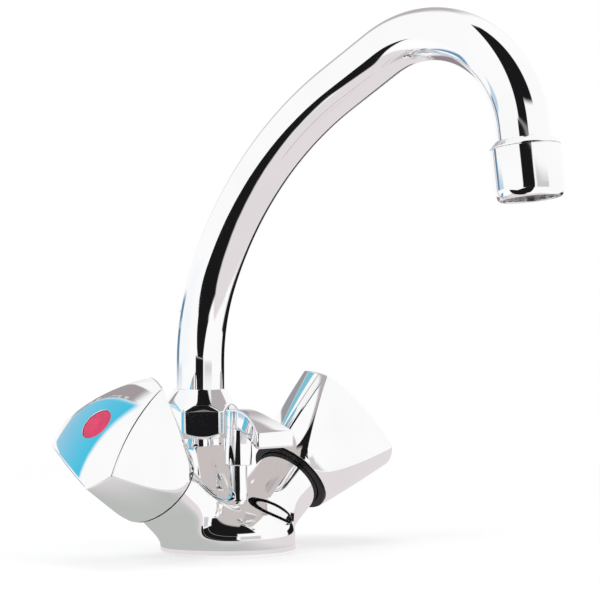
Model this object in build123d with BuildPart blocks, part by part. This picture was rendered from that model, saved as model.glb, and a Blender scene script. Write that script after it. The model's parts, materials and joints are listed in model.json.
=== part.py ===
from build123d import *
import os
from math import cos, radians, sin, sqrt, tan

# A one-hole basin mixer with two triangular handles, a bent swivel spout and a lift knob.
# Millimetres, +Z up. The origin is the middle of the base's underside. The spout reaches to -Y,
# the hot handle stands to -X and the cold handle to +X.

HOT, COLD = -1, 1
SIDE_NAMES = {HOT: "hot", COLD: "cold"}

# Clearances, each on the radius or on one face
running_gap = 0.05
screw_gap = 0.03
soft_gap = 0.3
bore_gap = 0.6

# Base of the body
base_radius = 24.6
base_wall_height = 6.0
base_dome_height = 13.0
base_rim_height = 1.4
base_rim_step = 0.35
gasket_height = 2.0
gasket_width = 3.2
gasket_inset = 2.0

# Arms of the body; distances along an arm start where the two arms' axes cross
arm_rise = 40.0
arm_radius = 12.6
arm_centre_y = 1.3
arm_under_z = -18.3
arm_centre_z = arm_under_z + arm_radius / cos(radians(arm_rise))
arm_bend_radius = 30.0
arm_end = 43.5
casting_fillet_radius = 1.5

# Spout tube; each bend is a radius and an angle
tube_radius = 9.0
tube_wall = 1.0
spout_axis_y = 15.6
spout_turn = 8.9
spout_straight = 9.7
spout_first_bend = (82.4, 21.8)
spout_second_bend = (133.8, 38.15)
spout_slope_length = 22.15
spout_top_bend = (37.8, 112.8)
spout_end_length = 11.05

# Neck of the body, under the spout
neck_top_z = 49.6
neck_foot_z = 6.0
neck_wall = 1.8
neck_head_height = 7.6
neck_bore_floor_z = 10.5

# Spout tail, its rings and the slide rings
tail_radius = tube_radius - 2.0
tail_length = 11.0
tail_plug_height = 7.0
flange_radius = tube_radius + 1.6
flange_height = 2.4
slide_ring_height = 0.6
o_ring_width = 2.0
o_ring_depth = 1.4
o_ring_pitch = 4.0
tail_end_height = 1.6
tail_bore_radius = tail_radius - o_ring_depth - 1.0
tail_foot_z = neck_top_z - tail_length
o_ring_foots = (tail_foot_z + tail_end_height, tail_foot_z + tail_end_height + o_ring_pitch)
neck_radius = tail_radius + neck_wall
neck_slope_top_z = 37.0
neck_slope_spread = 0.29
neck_slope_inset = 0.4
neck_head_radius = flange_radius + 0.35
neck_head_z = neck_top_z - neck_head_height
neck_bore_radius = tail_radius - 1.5

# Union nut
nut_foot_z = neck_head_z - 1.6
nut_cone_foot_z = neck_top_z + 0.8
nut_cone_height = 7.9
nut_top_z = nut_cone_foot_z + nut_cone_height
nut_top_radius = tube_radius + 0.55
nut_radius = neck_head_radius + 3.45
nut_flat_distance = neck_head_radius + 1.9
nut_foot_chamfer = 2.0
nut_flat_turn = -127.0

# Water ways of the body
inlet_offset_x = 13.0
inlet_thread_radius = 4.46
inlet_depth = 8.0
seat_at = 24.0
seat_lip_height = 1.2
seat_lip_width = 1.5
seat_bore_radius = 3.5
seat_bore_start = 14.5
seat_top = seat_at + seat_lip_height
seat_radius = seat_bore_radius + seat_lip_width
headwork_bore_radius = 8.25
mixing_way_radius = 2.3
mixing_way_outer_at = seat_at + 6.5
mixing_way_inner_z = neck_bore_floor_z + 1.9

# Fixing stud hole in the underside
stud_y = 13.0
stud_thread_radius = 3.32
stud_depth = 8.0

# Lift rod, its bush and its knob's boss, in front of the union nut
rod_radius = 3.2
knob_boss_radius = rod_radius + 1.7
knob_nut_gap = 1.8
rod_y = spout_axis_y - nut_radius - knob_nut_gap - knob_boss_radius
rod_foot_z = 1.0
rod_in_knob = 9.0
rod_thread_radius = 1.62
rod_thread_depth = 8.0
rod_bush_wall = 1.35
rod_bush_foot_z = 4.0
rod_bush_top_z = 15.5
knob_boss_foot_z = 31.3
rod_top_z = knob_boss_foot_z + rod_in_knob
rod_bush_radius = rod_radius + rod_bush_wall

# Knob's beak: reach is taken forwards from the rod's axis
knob_crown_z = knob_boss_foot_z + 20.3
knob_back_z = knob_crown_z - 1.2
knob_tip_reach = 20.1
knob_tip_top_z = knob_crown_z - 7.8
knob_tip_height = 5.5
knob_tip_foot_z = knob_tip_top_z - knob_tip_height
knob_tip_flat = 1.6
knob_top_middle_reach = 10.3
knob_top_middle_z = knob_crown_z - 2.3
knob_under_middle_reach = 12.0
knob_under_middle_z = knob_tip_foot_z + 2.2
knob_under_root_z = knob_tip_foot_z + 5.7
knob_root_width = 7.6
knob_middle_reach = 12.5
knob_middle_width = 11.4
knob_tip_width = 17.2
knob_edge_radius = 0.5

# Spout end and aerator, measured along the water from the tube's cut end
sleeve_back = 6.4
sleeve_shoulder_length = 2.5
sleeve_front = 4.0
sleeve_thread_radius = tube_radius + 1.0
sleeve_bore_radius = tube_radius - tube_wall
aerator_radius = sleeve_thread_radius + 1.65
aerator_lip_radius = aerator_radius - 1.55
aerator_mouth_radius = aerator_radius - 2.75
aerator_washer_height = 1.2
washer_end = sleeve_front + aerator_washer_height
insert_rim_height = 1.0
insert_length = 6.9
insert_tube_radius = sleeve_thread_radius - 0.7
insert_tube_wall = 0.9
insert_tube_end = washer_end + insert_length
insert_spoke_count = 3
aerator_end = insert_tube_end + 1.1
aerator_straight_end = aerator_end - 3.9
mesh_thickness = 0.5
mesh_hole_radius = 0.62
mesh_ring_count = 4
mesh_margin = 0.75

# Headwork, the bonnet screwed into the arm
headwork_foot = arm_end - 9.5
headwork_seal_height = 0.8
headwork_seal_radius = headwork_bore_radius + 1.9
headwork_hex_distance = headwork_bore_radius + 0.75
headwork_hex_height = 4.0
headwork_hex_foot = arm_end + headwork_seal_height
headwork_hex_end = headwork_hex_foot + headwork_hex_height
headwork_neck_wall = 2.25
headwork_neck_end = headwork_hex_end + 8.7

# Spindle
spindle_radius = 4.0
spindle_thread_radius = spindle_radius - 0.7
spindle_foot = headwork_foot + bore_gap
spindle_collar_radius = spindle_radius + 1.4
spindle_collar_height = 2.8
spindle_collar_front = headwork_hex_end - 0.3
spindle_collar_back = spindle_collar_front - spindle_collar_height
spindle_groove_at = headwork_hex_end + 3.2
spindle_groove_width = 1.8
spindle_groove_depth = 0.9
clip_thickness = 0.8
clip_width = 2.4
clip_depth = 0.8
clip_opening = 5.0
spline_start = headwork_neck_end + 2.0
spline_length = 7.0
spline_end = spline_start + spline_length
spline_count = 12
spline_depth = 0.6
spline_width = 0.9
spline_root = spindle_radius - spline_depth
headwork_neck_radius = spindle_radius + headwork_neck_wall

# Valve, which slides off its seat
valve_travel = 3.0
valve_washer_height = 2.0
valve_washer_radius = seat_radius + 0.8
valve_disc_radius = valve_washer_radius + 0.4
valve_disc_height = 2.5
valve_disc_foot = seat_top + valve_washer_height
valve_disc_end = valve_disc_foot + valve_disc_height
valve_hex_distance = spindle_collar_radius + 0.1
valve_hex_end = spindle_collar_back - valve_travel - 2.2
valve_bore_floor = spindle_foot - valve_travel - bore_gap
valve_screw_head_radius = 2.4
valve_screw_head_height = 1.4
valve_screw_radius = 1.5
valve_screw_length = 3.6

# Handle core, the black piece whose flange closes the handle's mouth
handle_mouth = arm_end - 1.3
handle_lip_depth = 1.0
core_inner_radius = arm_radius + soft_gap
core_skirt_radius = core_inner_radius + 1.0
core_flange_back = handle_mouth - 0.8
core_flange_front = handle_mouth + handle_lip_depth
core_web_at = headwork_hex_end + 1.7
core_web_end = core_web_at + 2.4
core_hub_radius = headwork_neck_radius + bore_gap + 1.15

# Handle shell
handle_lip_wall = 0.55
handle_wall = 2.0
handle_flat_distance = core_skirt_radius + soft_gap + handle_wall
handle_mouth_radius = handle_flat_distance - 0.25
handle_flare = 17.15
handle_flat_taper = 1.75
handle_shoulder = handle_mouth + 30.9
handle_dome_rise = 4.9
handle_crown = handle_shoulder + handle_dome_rise
handle_roof = spline_end + 3.0
handle_edge_radius = 0.6
handle_corner_turns = {HOT: -26.5, COLD: 12.1}
handle_shoulder_radius = handle_mouth_radius + (handle_shoulder - handle_mouth) * tan(radians(handle_flare))
handle_dome_radius = (handle_shoulder_radius**2 + handle_dome_rise**2) / (2 * handle_dome_rise)

# Handle screw and index cap
screw_radius = 2.0
screw_length = 12.6
screw_head_radius = 3.5
screw_head_height = 2.4
screw_head_at = handle_roof + 2.6
screw_slot_width = 0.9
screw_slot_depth = 1.1
cap_radius = 6.0
cap_thickness = 2.2
cap_sink = 0.3
cap_gap = 0.12
cap_crown = handle_crown - cap_sink
cap_seat = cap_crown - cap_thickness


def arm_outward(side):
    """The way an arm points: outwards and up."""
    return Vector(side * cos(radians(arm_rise)), 0, sin(radians(arm_rise)))


def arm_upward(side):
    """The direction square to an arm that points most nearly up."""
    return Vector(-side * sin(radians(arm_rise)), 0, cos(radians(arm_rise)))


def arm_point(side, at):
    """The point on an arm's axis at a distance from where the arms cross."""
    return Vector(0, arm_centre_y, arm_centre_z) + arm_outward(side) * at


def arm_axis(side):
    """The axis of an arm, about which its handle turns."""
    return Axis(arm_point(side, 0), arm_outward(side))


def arm_plane(side, at, turn=0):
    """A plane square to an arm, its x direction turned from the upward one."""
    outward = arm_outward(side)
    upward = arm_upward(side)
    x_dir = upward * cos(radians(turn)) + outward.cross(upward) * sin(radians(turn))
    return Plane(origin=arm_point(side, at), x_dir=x_dir, z_dir=outward)


def arm_section(side):
    """A plane that holds an arm's axis: x is the radius, y the distance along the arm."""
    upward = arm_upward(side)
    return Plane(origin=arm_point(side, 0), x_dir=upward, z_dir=upward.cross(arm_outward(side)))


def upright_section(y):
    """A plane that holds an upright axis at a place on the Y axis: x is the radius, y the height."""
    return Plane(origin=(0, y, 0), x_dir=(1, 0, 0), z_dir=(0, -1, 0))


def turned(plane, *corners):
    """The section of a turned piece, its corners given as radius and height."""
    with BuildSketch(plane) as outline:
        with BuildLine():
            Polyline(*corners, close=True)
        make_face()
    return outline.sketch


def ring(plane, inner, outer, low, high):
    """The section of a ring: a rectangle between two radii and two heights."""
    return turned(plane, (inner, low), (outer, low), (outer, high), (inner, high))


def hexagon(plane, flat_distance, turn=0):
    """A hexagon whose flats stand at a distance from its middle, the first one turned from x."""
    with BuildSketch(plane) as outline:
        RegularPolygon(flat_distance, 6, major_radius=False, rotation=turn + 30)
    return outline.sketch


def finish(piece, name):
    """Names a piece and writes its file."""
    piece.part.label = name
    export_step(piece.part, f"parts/{name}.step")


os.makedirs("parts", exist_ok=True)

spout_section = upright_section(spout_axis_y)
spout_axis = Axis((0, spout_axis_y, 0), (0, 0, 1))
rod_section = upright_section(rod_y)
rod_axis = Axis((0, rod_y, 0), (0, 0, 1))

# Body casting: a domed round base, two arms in one bend, and the neck
gasket_radius = base_radius - gasket_inset
with BuildPart() as body_casting:
    with BuildSketch(Plane.XZ):
        with BuildLine():
            wall_radius = base_radius - base_rim_step
            Polyline(
                (0, base_wall_height + base_dome_height),
                (0, 0),
                (base_radius, 0),
                (base_radius, base_rim_height),
                (wall_radius, base_rim_height),
                (wall_radius, base_wall_height),
            )
            EllipticalCenterArc((0, base_wall_height), wall_radius, base_dome_height, 0, arc_size=90)
        make_face()
    revolve(axis=Axis.Z)

    with BuildLine(upright_section(arm_centre_y)) as arms_line:
        arm_reach = arm_end * cos(radians(arm_rise))
        arm_top_z = arm_centre_z + arm_end * sin(radians(arm_rise))
        FilletPolyline(
            (-arm_reach, arm_top_z), (0, arm_centre_z), (arm_reach, arm_top_z), radius=arm_bend_radius
        )
    with BuildSketch(arm_plane(HOT, arm_end)):
        Circle(arm_radius)
    sweep(path=arms_line.wire())

    revolve(ring(spout_section, 0, neck_radius, neck_foot_z, neck_top_z), axis=spout_axis)
    revolve(ring(spout_section, 0, neck_head_radius, neck_head_z, neck_top_z), axis=spout_axis)
    split(bisect_by=Plane.XY, keep=Keep.TOP)
    fillet(body_casting.edges().filter_by(GeomType.BSPLINE), casting_fillet_radius)

    # Slope in front of the neck, down to the lift rod
    slope_widening = neck_slope_spread * (neck_slope_top_z - neck_foot_z)
    for slope_z, widening in ((neck_slope_top_z, 0), (neck_foot_z, slope_widening)):
        with BuildSketch(Plane.XY.offset(slope_z)):
            with Locations((0, spout_axis_y - widening)):
                Circle(neck_radius - neck_slope_inset + widening)
    loft(ruled=True)

    # Valve chambers with their seats, supply bores, inlets and the ways to the neck
    for side in (HOT, COLD):
        chamber = turned(
            arm_section(side),
            (seat_radius, seat_at),
            (headwork_bore_radius, seat_at),
            (headwork_bore_radius, arm_end),
            (0, arm_end),
            (0, seat_top),
            (seat_radius, seat_top),
        )
        revolve(chamber, axis=arm_axis(side), mode=Mode.SUBTRACT)
        seat_bore = ring(arm_section(side), 0, seat_bore_radius, seat_bore_start, seat_top)
        revolve(seat_bore, axis=arm_axis(side), mode=Mode.SUBTRACT)

        with BuildSketch(Plane.XY.offset(inlet_depth)):
            with Locations((side * inlet_offset_x, arm_centre_y)):
                Circle(inlet_thread_radius)
        extrude(amount=-inlet_depth, mode=Mode.SUBTRACT)

        way_start = Vector(0, spout_axis_y, mixing_way_inner_z)
        way = arm_point(side, mixing_way_outer_at) - way_start
        with BuildSketch(Plane(origin=way_start, z_dir=way)):
            Circle(mixing_way_radius)
        extrude(amount=way.length, mode=Mode.SUBTRACT)

    # Neck bore, wide above for the spout's tail
    neck_bore = turned(
        spout_section,
        (0, neck_bore_floor_z),
        (neck_bore_radius, neck_bore_floor_z),
        (neck_bore_radius, tail_foot_z - soft_gap),
        (tail_radius + running_gap, tail_foot_z - soft_gap),
        (tail_radius + running_gap, neck_top_z),
        (0, neck_top_z),
    )
    revolve(neck_bore, axis=spout_axis, mode=Mode.SUBTRACT)

    # Passage of the lift rod, wide below for its bush
    rod_passage = turned(
        rod_section,
        (0, 0),
        (rod_bush_radius + screw_gap, 0),
        (rod_bush_radius + screw_gap, rod_bush_top_z),
        (rod_radius + running_gap, rod_bush_top_z),
        (rod_radius + running_gap, knob_boss_foot_z),
        (0, knob_boss_foot_z),
    )
    revolve(rod_passage, axis=rod_axis, mode=Mode.SUBTRACT)

    # Stud hole, and the gasket's groove
    with BuildSketch(Plane.XY):
        with Locations((0, stud_y)):
            Circle(stud_thread_radius)
    extrude(amount=stud_depth, mode=Mode.SUBTRACT)
    groove = ring(
        Plane.XZ, gasket_radius - gasket_width - screw_gap, gasket_radius + screw_gap, 0, gasket_height
    )
    revolve(groove, axis=Axis.Z, mode=Mode.SUBTRACT)
finish(body_casting, "body_casting")

# Base gasket, level with the underside
with BuildPart() as base_gasket:
    revolve(ring(Plane.XZ, gasket_radius - gasket_width, gasket_radius, 0, gasket_height), axis=Axis.Z)
finish(base_gasket, "base_gasket")

# Rod bush, pressed in from below
with BuildPart() as rod_bush:
    revolve(
        ring(rod_section, rod_radius + running_gap, rod_bush_radius, rod_bush_foot_z, rod_bush_top_z),
        axis=rod_axis,
    )
finish(rod_bush, "rod_bush")

# Lift rod, with a thread below for the rod that goes on to the waste
with BuildPart() as lift_rod:
    revolve(ring(rod_section, 0, rod_radius, rod_foot_z, rod_top_z), axis=rod_axis)
    revolve(
        ring(rod_section, 0, rod_thread_radius, rod_foot_z, rod_foot_z + rod_thread_depth),
        axis=rod_axis,
        mode=Mode.SUBTRACT,
    )
finish(lift_rod, "lift_rod")

# Lift knob: a beak that widens to the front, on a round boss
knob_tip_y = rod_y - knob_tip_reach
knob_back_y = rod_y + knob_boss_radius
with BuildPart() as lift_knob:
    with BuildSketch(Plane.YZ):
        with BuildLine():
            under_front = (knob_tip_y + knob_tip_flat, knob_tip_foot_z)
            under_middle = (rod_y - knob_under_middle_reach, knob_under_middle_z)
            under_root = (rod_y - knob_boss_radius, knob_under_root_z)
            top_middle = (rod_y - knob_top_middle_reach, knob_top_middle_z)
            Polyline((knob_tip_y, knob_tip_top_z), (knob_tip_y, knob_tip_foot_z), under_front)
            ThreePointArc(under_front, under_middle, under_root)
            Polyline(under_root, (knob_back_y, knob_under_root_z), (knob_back_y, knob_back_z))
            Spline(
                (knob_back_y, knob_back_z), (rod_y, knob_crown_z), top_middle, (knob_tip_y, knob_tip_top_z)
            )
        make_face()
    extrude(amount=knob_tip_width, both=True)
    with BuildSketch(Plane.XY.offset(knob_tip_foot_z)):
        with BuildLine():
            for sign in (-1, 1):
                fan_side = ThreePointArc(
                    (sign * knob_root_width / 2, rod_y - knob_boss_radius / 2),
                    (sign * knob_middle_width / 2, rod_y - knob_middle_reach),
                    (sign * knob_tip_width / 2, knob_tip_y + knob_tip_flat),
                )
                Line(fan_side @ 1, (sign * knob_tip_width / 2, knob_tip_y))
                Line((sign * knob_root_width / 2, rod_y), fan_side @ 0)
            Line((-knob_tip_width / 2, knob_tip_y), (knob_tip_width / 2, knob_tip_y))
            Line((-knob_root_width / 2, rod_y), (knob_root_width / 2, rod_y))
        make_face()
        with Locations((0, rod_y)):
            Circle(knob_boss_radius)
    extrude(amount=knob_crown_z, mode=Mode.INTERSECT)
    top_edges = lift_knob.faces().sort_by(Axis.Z)[-1].edges()
    tip_corners = lift_knob.faces().sort_by(Axis.Y)[0].edges().filter_by(Axis.Z)
    fillet(top_edges + tip_corners, knob_edge_radius)

    with BuildSketch(Plane.XY.offset(knob_boss_foot_z)):
        with Locations((0, rod_y)):
            Circle(knob_boss_radius)
    extrude(amount=knob_under_root_z - knob_boss_foot_z)
    revolve(
        ring(rod_section, 0, rod_radius + screw_gap, knob_boss_foot_z, rod_top_z),
        axis=rod_axis,
        mode=Mode.SUBTRACT,
    )
finish(lift_knob, "lift_knob")

# Spout tail: a flanged stub that turns in the neck and plugs the tube
flange_foot_z = neck_top_z + slide_ring_height
tube_foot_z = flange_foot_z + flange_height
plug_radius = tube_radius - tube_wall - screw_gap
with BuildPart() as spout_tail:
    tail = turned(
        spout_section,
        (tail_bore_radius, tail_foot_z),
        (tail_radius, tail_foot_z),
        (tail_radius, flange_foot_z),
        (flange_radius, flange_foot_z),
        (flange_radius, tube_foot_z),
        (plug_radius, tube_foot_z),
        (plug_radius, tube_foot_z + tail_plug_height),
        (tail_bore_radius, tube_foot_z + tail_plug_height),
    )
    revolve(tail, axis=spout_axis)
    groove_floor = tail_radius - o_ring_depth
    for foot_z in o_ring_foots:
        groove = ring(spout_section, groove_floor, tail_radius, foot_z, foot_z + o_ring_width)
        revolve(groove, axis=spout_axis, mode=Mode.SUBTRACT)
finish(spout_tail, "spout_tail")

# O-rings of the tail, between their grooves and the neck
with BuildPart() as spout_o_rings:
    for foot_z in o_ring_foots:
        o_ring = ring(
            spout_section,
            groove_floor,
            tail_radius + running_gap / 2,
            foot_z + running_gap,
            foot_z + o_ring_width - running_gap,
        )
        revolve(o_ring, axis=spout_axis)
finish(spout_o_rings, "spout_o_rings")

# Slide rings below and above the tail's flange
with BuildPart() as slide_ring_lower:
    slide_ring_end_z = flange_foot_z - running_gap
    revolve(
        ring(spout_section, tail_radius + running_gap, flange_radius, neck_top_z, slide_ring_end_z),
        axis=spout_axis,
    )
finish(slide_ring_lower, "slide_ring_lower")

slide_ring_foot_z = tube_foot_z + running_gap
nut_shoulder_z = slide_ring_foot_z + slide_ring_height
with BuildPart() as slide_ring_upper:
    revolve(
        ring(spout_section, tube_radius + running_gap, flange_radius, slide_ring_foot_z, nut_shoulder_z),
        axis=spout_axis,
    )
finish(slide_ring_upper, "slide_ring_upper")

# Union nut: a cone over a hexagon, screwed on the neck's head
with BuildPart() as spout_union_nut:
    nut_body = turned(
        spout_section,
        (0, nut_foot_z),
        (nut_radius - nut_foot_chamfer, nut_foot_z),
        (nut_radius, nut_foot_z + nut_foot_chamfer),
        (nut_radius, nut_cone_foot_z),
        (nut_top_radius, nut_top_z),
        (0, nut_top_z),
    )
    revolve(nut_body, axis=spout_axis)
    nut_plane = Plane(origin=(0, spout_axis_y, nut_foot_z))
    extrude(
        hexagon(nut_plane, nut_flat_distance, nut_flat_turn),
        amount=nut_top_z - nut_foot_z,
        mode=Mode.INTERSECT,
    )
    nut_hollow = turned(
        spout_section,
        (0, nut_foot_z),
        (neck_head_radius + screw_gap, nut_foot_z),
        (neck_head_radius + screw_gap, nut_shoulder_z),
        (tube_radius + running_gap, nut_shoulder_z),
        (tube_radius + running_gap, nut_top_z),
        (0, nut_top_z),
    )
    revolve(nut_hollow, axis=spout_axis, mode=Mode.SUBTRACT)
finish(spout_union_nut, "spout_union_nut")

# Spout tube, bent in one upright plane that is turned a little from the front
spout_forward = Vector(sin(radians(spout_turn)), -cos(radians(spout_turn)), 0)
spout_side = Vector(0, 0, 1).cross(spout_forward)
spout_plane = Plane(origin=(0, spout_axis_y, 0), x_dir=spout_forward, z_dir=-spout_side)
with BuildLine(spout_plane) as spout_line:
    riser = Line((0, tube_foot_z), (0, nut_top_z + spout_straight))
    first_bend = JernArc(riser @ 1, riser % 1, spout_first_bend[0], -spout_first_bend[1])
    second_bend = JernArc(first_bend @ 1, first_bend % 1, spout_second_bend[0], -spout_second_bend[1])
    slope = PolarLine(second_bend @ 1, spout_slope_length, direction=second_bend % 1)
    top_bend = JernArc(slope @ 1, slope % 1, spout_top_bend[0], -spout_top_bend[1])
    outlet_run = PolarLine(top_bend @ 1, spout_end_length, direction=top_bend % 1)
outlet_point = outlet_run @ 1
outlet_direction = outlet_run % 1

with BuildPart() as spout_tube:
    with BuildSketch(Plane(origin=(0, spout_axis_y, tube_foot_z))):
        Circle(tube_radius)
        Circle(tube_radius - tube_wall, mode=Mode.SUBTRACT)
    sweep(path=spout_line.wire())
finish(spout_tube, "spout_tube")

# The outlet's section: x is the radius, y the distance along the water
outlet_axis = Axis(outlet_point, outlet_direction)
outlet_section = Plane(
    origin=outlet_point, x_dir=spout_side, z_dir=spout_side.cross(outlet_direction)
)


def outlet_plane(at):
    """A plane square to the water at a distance from the tube's cut end."""
    return Plane(
        origin=outlet_point + outlet_direction * at, x_dir=spout_side, z_dir=outlet_direction
    )


# End sleeve: a shoulder and the aerator's thread, fixed on the tube
housing_back = sleeve_shoulder_length - sleeve_back
with BuildPart() as spout_end_sleeve:
    sleeve = turned(
        outlet_section,
        (tube_radius + screw_gap, -sleeve_back),
        (aerator_radius, housing_back),
        (sleeve_thread_radius, housing_back),
        (sleeve_thread_radius, sleeve_front),
        (sleeve_bore_radius, sleeve_front),
        (sleeve_bore_radius, screw_gap),
        (tube_radius + screw_gap, screw_gap),
    )
    revolve(sleeve, axis=outlet_axis)
finish(spout_end_sleeve, "spout_end_sleeve")

# Aerator washer
with BuildPart() as aerator_washer:
    revolve(
        ring(outlet_section, sleeve_bore_radius, sleeve_thread_radius, sleeve_front, washer_end),
        axis=outlet_axis,
    )
finish(aerator_washer, "aerator_washer")

# Aerator insert: a rimmed tube with spokes across its back
rim_end = washer_end + insert_rim_height
insert_bore_radius = insert_tube_radius - insert_tube_wall
with BuildPart() as aerator_insert:
    insert_tube = turned(
        outlet_section,
        (insert_bore_radius, washer_end),
        (sleeve_thread_radius, washer_end),
        (sleeve_thread_radius, rim_end),
        (insert_tube_radius, rim_end),
        (insert_tube_radius, insert_tube_end),
        (insert_bore_radius, insert_tube_end),
    )
    revolve(insert_tube, axis=outlet_axis)
    with BuildSketch(outlet_plane(washer_end)):
        for number in range(insert_spoke_count):
            turn = 180 * number / insert_spoke_count
            Rectangle(2 * insert_tube_radius, insert_tube_wall, rotation=turn)
    extrude(amount=insert_rim_height)
finish(aerator_insert, "aerator_insert")

# Aerator mesh, a disc with rings of holes
with BuildPart() as aerator_mesh:
    mesh_radius = insert_bore_radius - screw_gap
    mesh_pitch = (mesh_radius - mesh_margin - mesh_hole_radius) / mesh_ring_count
    with BuildSketch(outlet_plane(insert_tube_end - mesh_thickness)):
        Circle(mesh_radius)
        Circle(mesh_hole_radius, mode=Mode.SUBTRACT)
        for number in range(1, mesh_ring_count + 1):
            with PolarLocations(number * mesh_pitch, 6 * number):
                Circle(mesh_hole_radius, mode=Mode.SUBTRACT)
    extrude(amount=mesh_thickness)
finish(aerator_mesh, "aerator_mesh")

# Aerator housing, screwed on the sleeve and rounded in to a thin lip
with BuildPart() as aerator_housing:
    with BuildSketch(outlet_section):
        with BuildLine():
            Polyline(
                (aerator_lip_radius, aerator_end),
                (aerator_mouth_radius, aerator_end),
                (aerator_mouth_radius, insert_tube_end + screw_gap),
                (insert_tube_radius + screw_gap, insert_tube_end + screw_gap),
                (insert_tube_radius + screw_gap, rim_end + screw_gap),
                (sleeve_thread_radius + screw_gap, rim_end + screw_gap),
                (sleeve_thread_radius + screw_gap, housing_back),
                (aerator_radius, housing_back),
                (aerator_radius, aerator_straight_end),
            )
            EllipticalCenterArc(
                (aerator_lip_radius, aerator_straight_end),
                aerator_radius - aerator_lip_radius,
                aerator_end - aerator_straight_end,
                0,
                arc_size=90,
            )
        make_face()
    revolve(axis=outlet_axis)
finish(aerator_housing, "aerator_housing")


def handle_form(side):
    """The handle's outside: a flared round form with a domed end, cut to three flats."""
    with BuildPart() as form:
        with BuildSketch(arm_section(side)):
            with BuildLine():
                Polyline(
                    (0, handle_crown),
                    (0, handle_mouth),
                    (handle_mouth_radius, handle_mouth),
                    (handle_shoulder_radius, handle_shoulder),
                )
                RadiusArc(
                    (handle_shoulder_radius, handle_shoulder), (0, handle_crown), -handle_dome_radius
                )
            make_face()
        revolve(axis=arm_axis(side))
        with BuildSketch(arm_plane(side, handle_mouth, handle_corner_turns[side])):
            RegularPolygon(handle_flat_distance, 3, major_radius=False)
        extrude(amount=handle_crown - handle_mouth, taper=-handle_flat_taper, mode=Mode.INTERSECT)
        form_edges = form.edges().filter_by_position(
            arm_axis(side), handle_mouth, handle_crown, inclusive=(False, True)
        )
        fillet(form_edges, handle_edge_radius)
    return form.part


def handle_cavity(side):
    """The handle's inside, one wall thinner than its outside and flat at the roof."""
    cavity_radius = handle_mouth_radius - handle_wall
    roof_radius = cavity_radius + (handle_roof - handle_mouth) * tan(radians(handle_flare))
    with BuildPart() as cavity:
        cone = turned(
            arm_section(side),
            (0, handle_mouth),
            (cavity_radius, handle_mouth),
            (roof_radius, handle_roof),
            (0, handle_roof),
        )
        revolve(cone, axis=arm_axis(side))
        with BuildSketch(arm_plane(side, handle_mouth, handle_corner_turns[side])):
            RegularPolygon(handle_flat_distance - handle_wall, 3, major_radius=False)
        extrude(amount=handle_roof - handle_mouth, taper=-handle_flat_taper, mode=Mode.INTERSECT)
    return cavity.part


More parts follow.
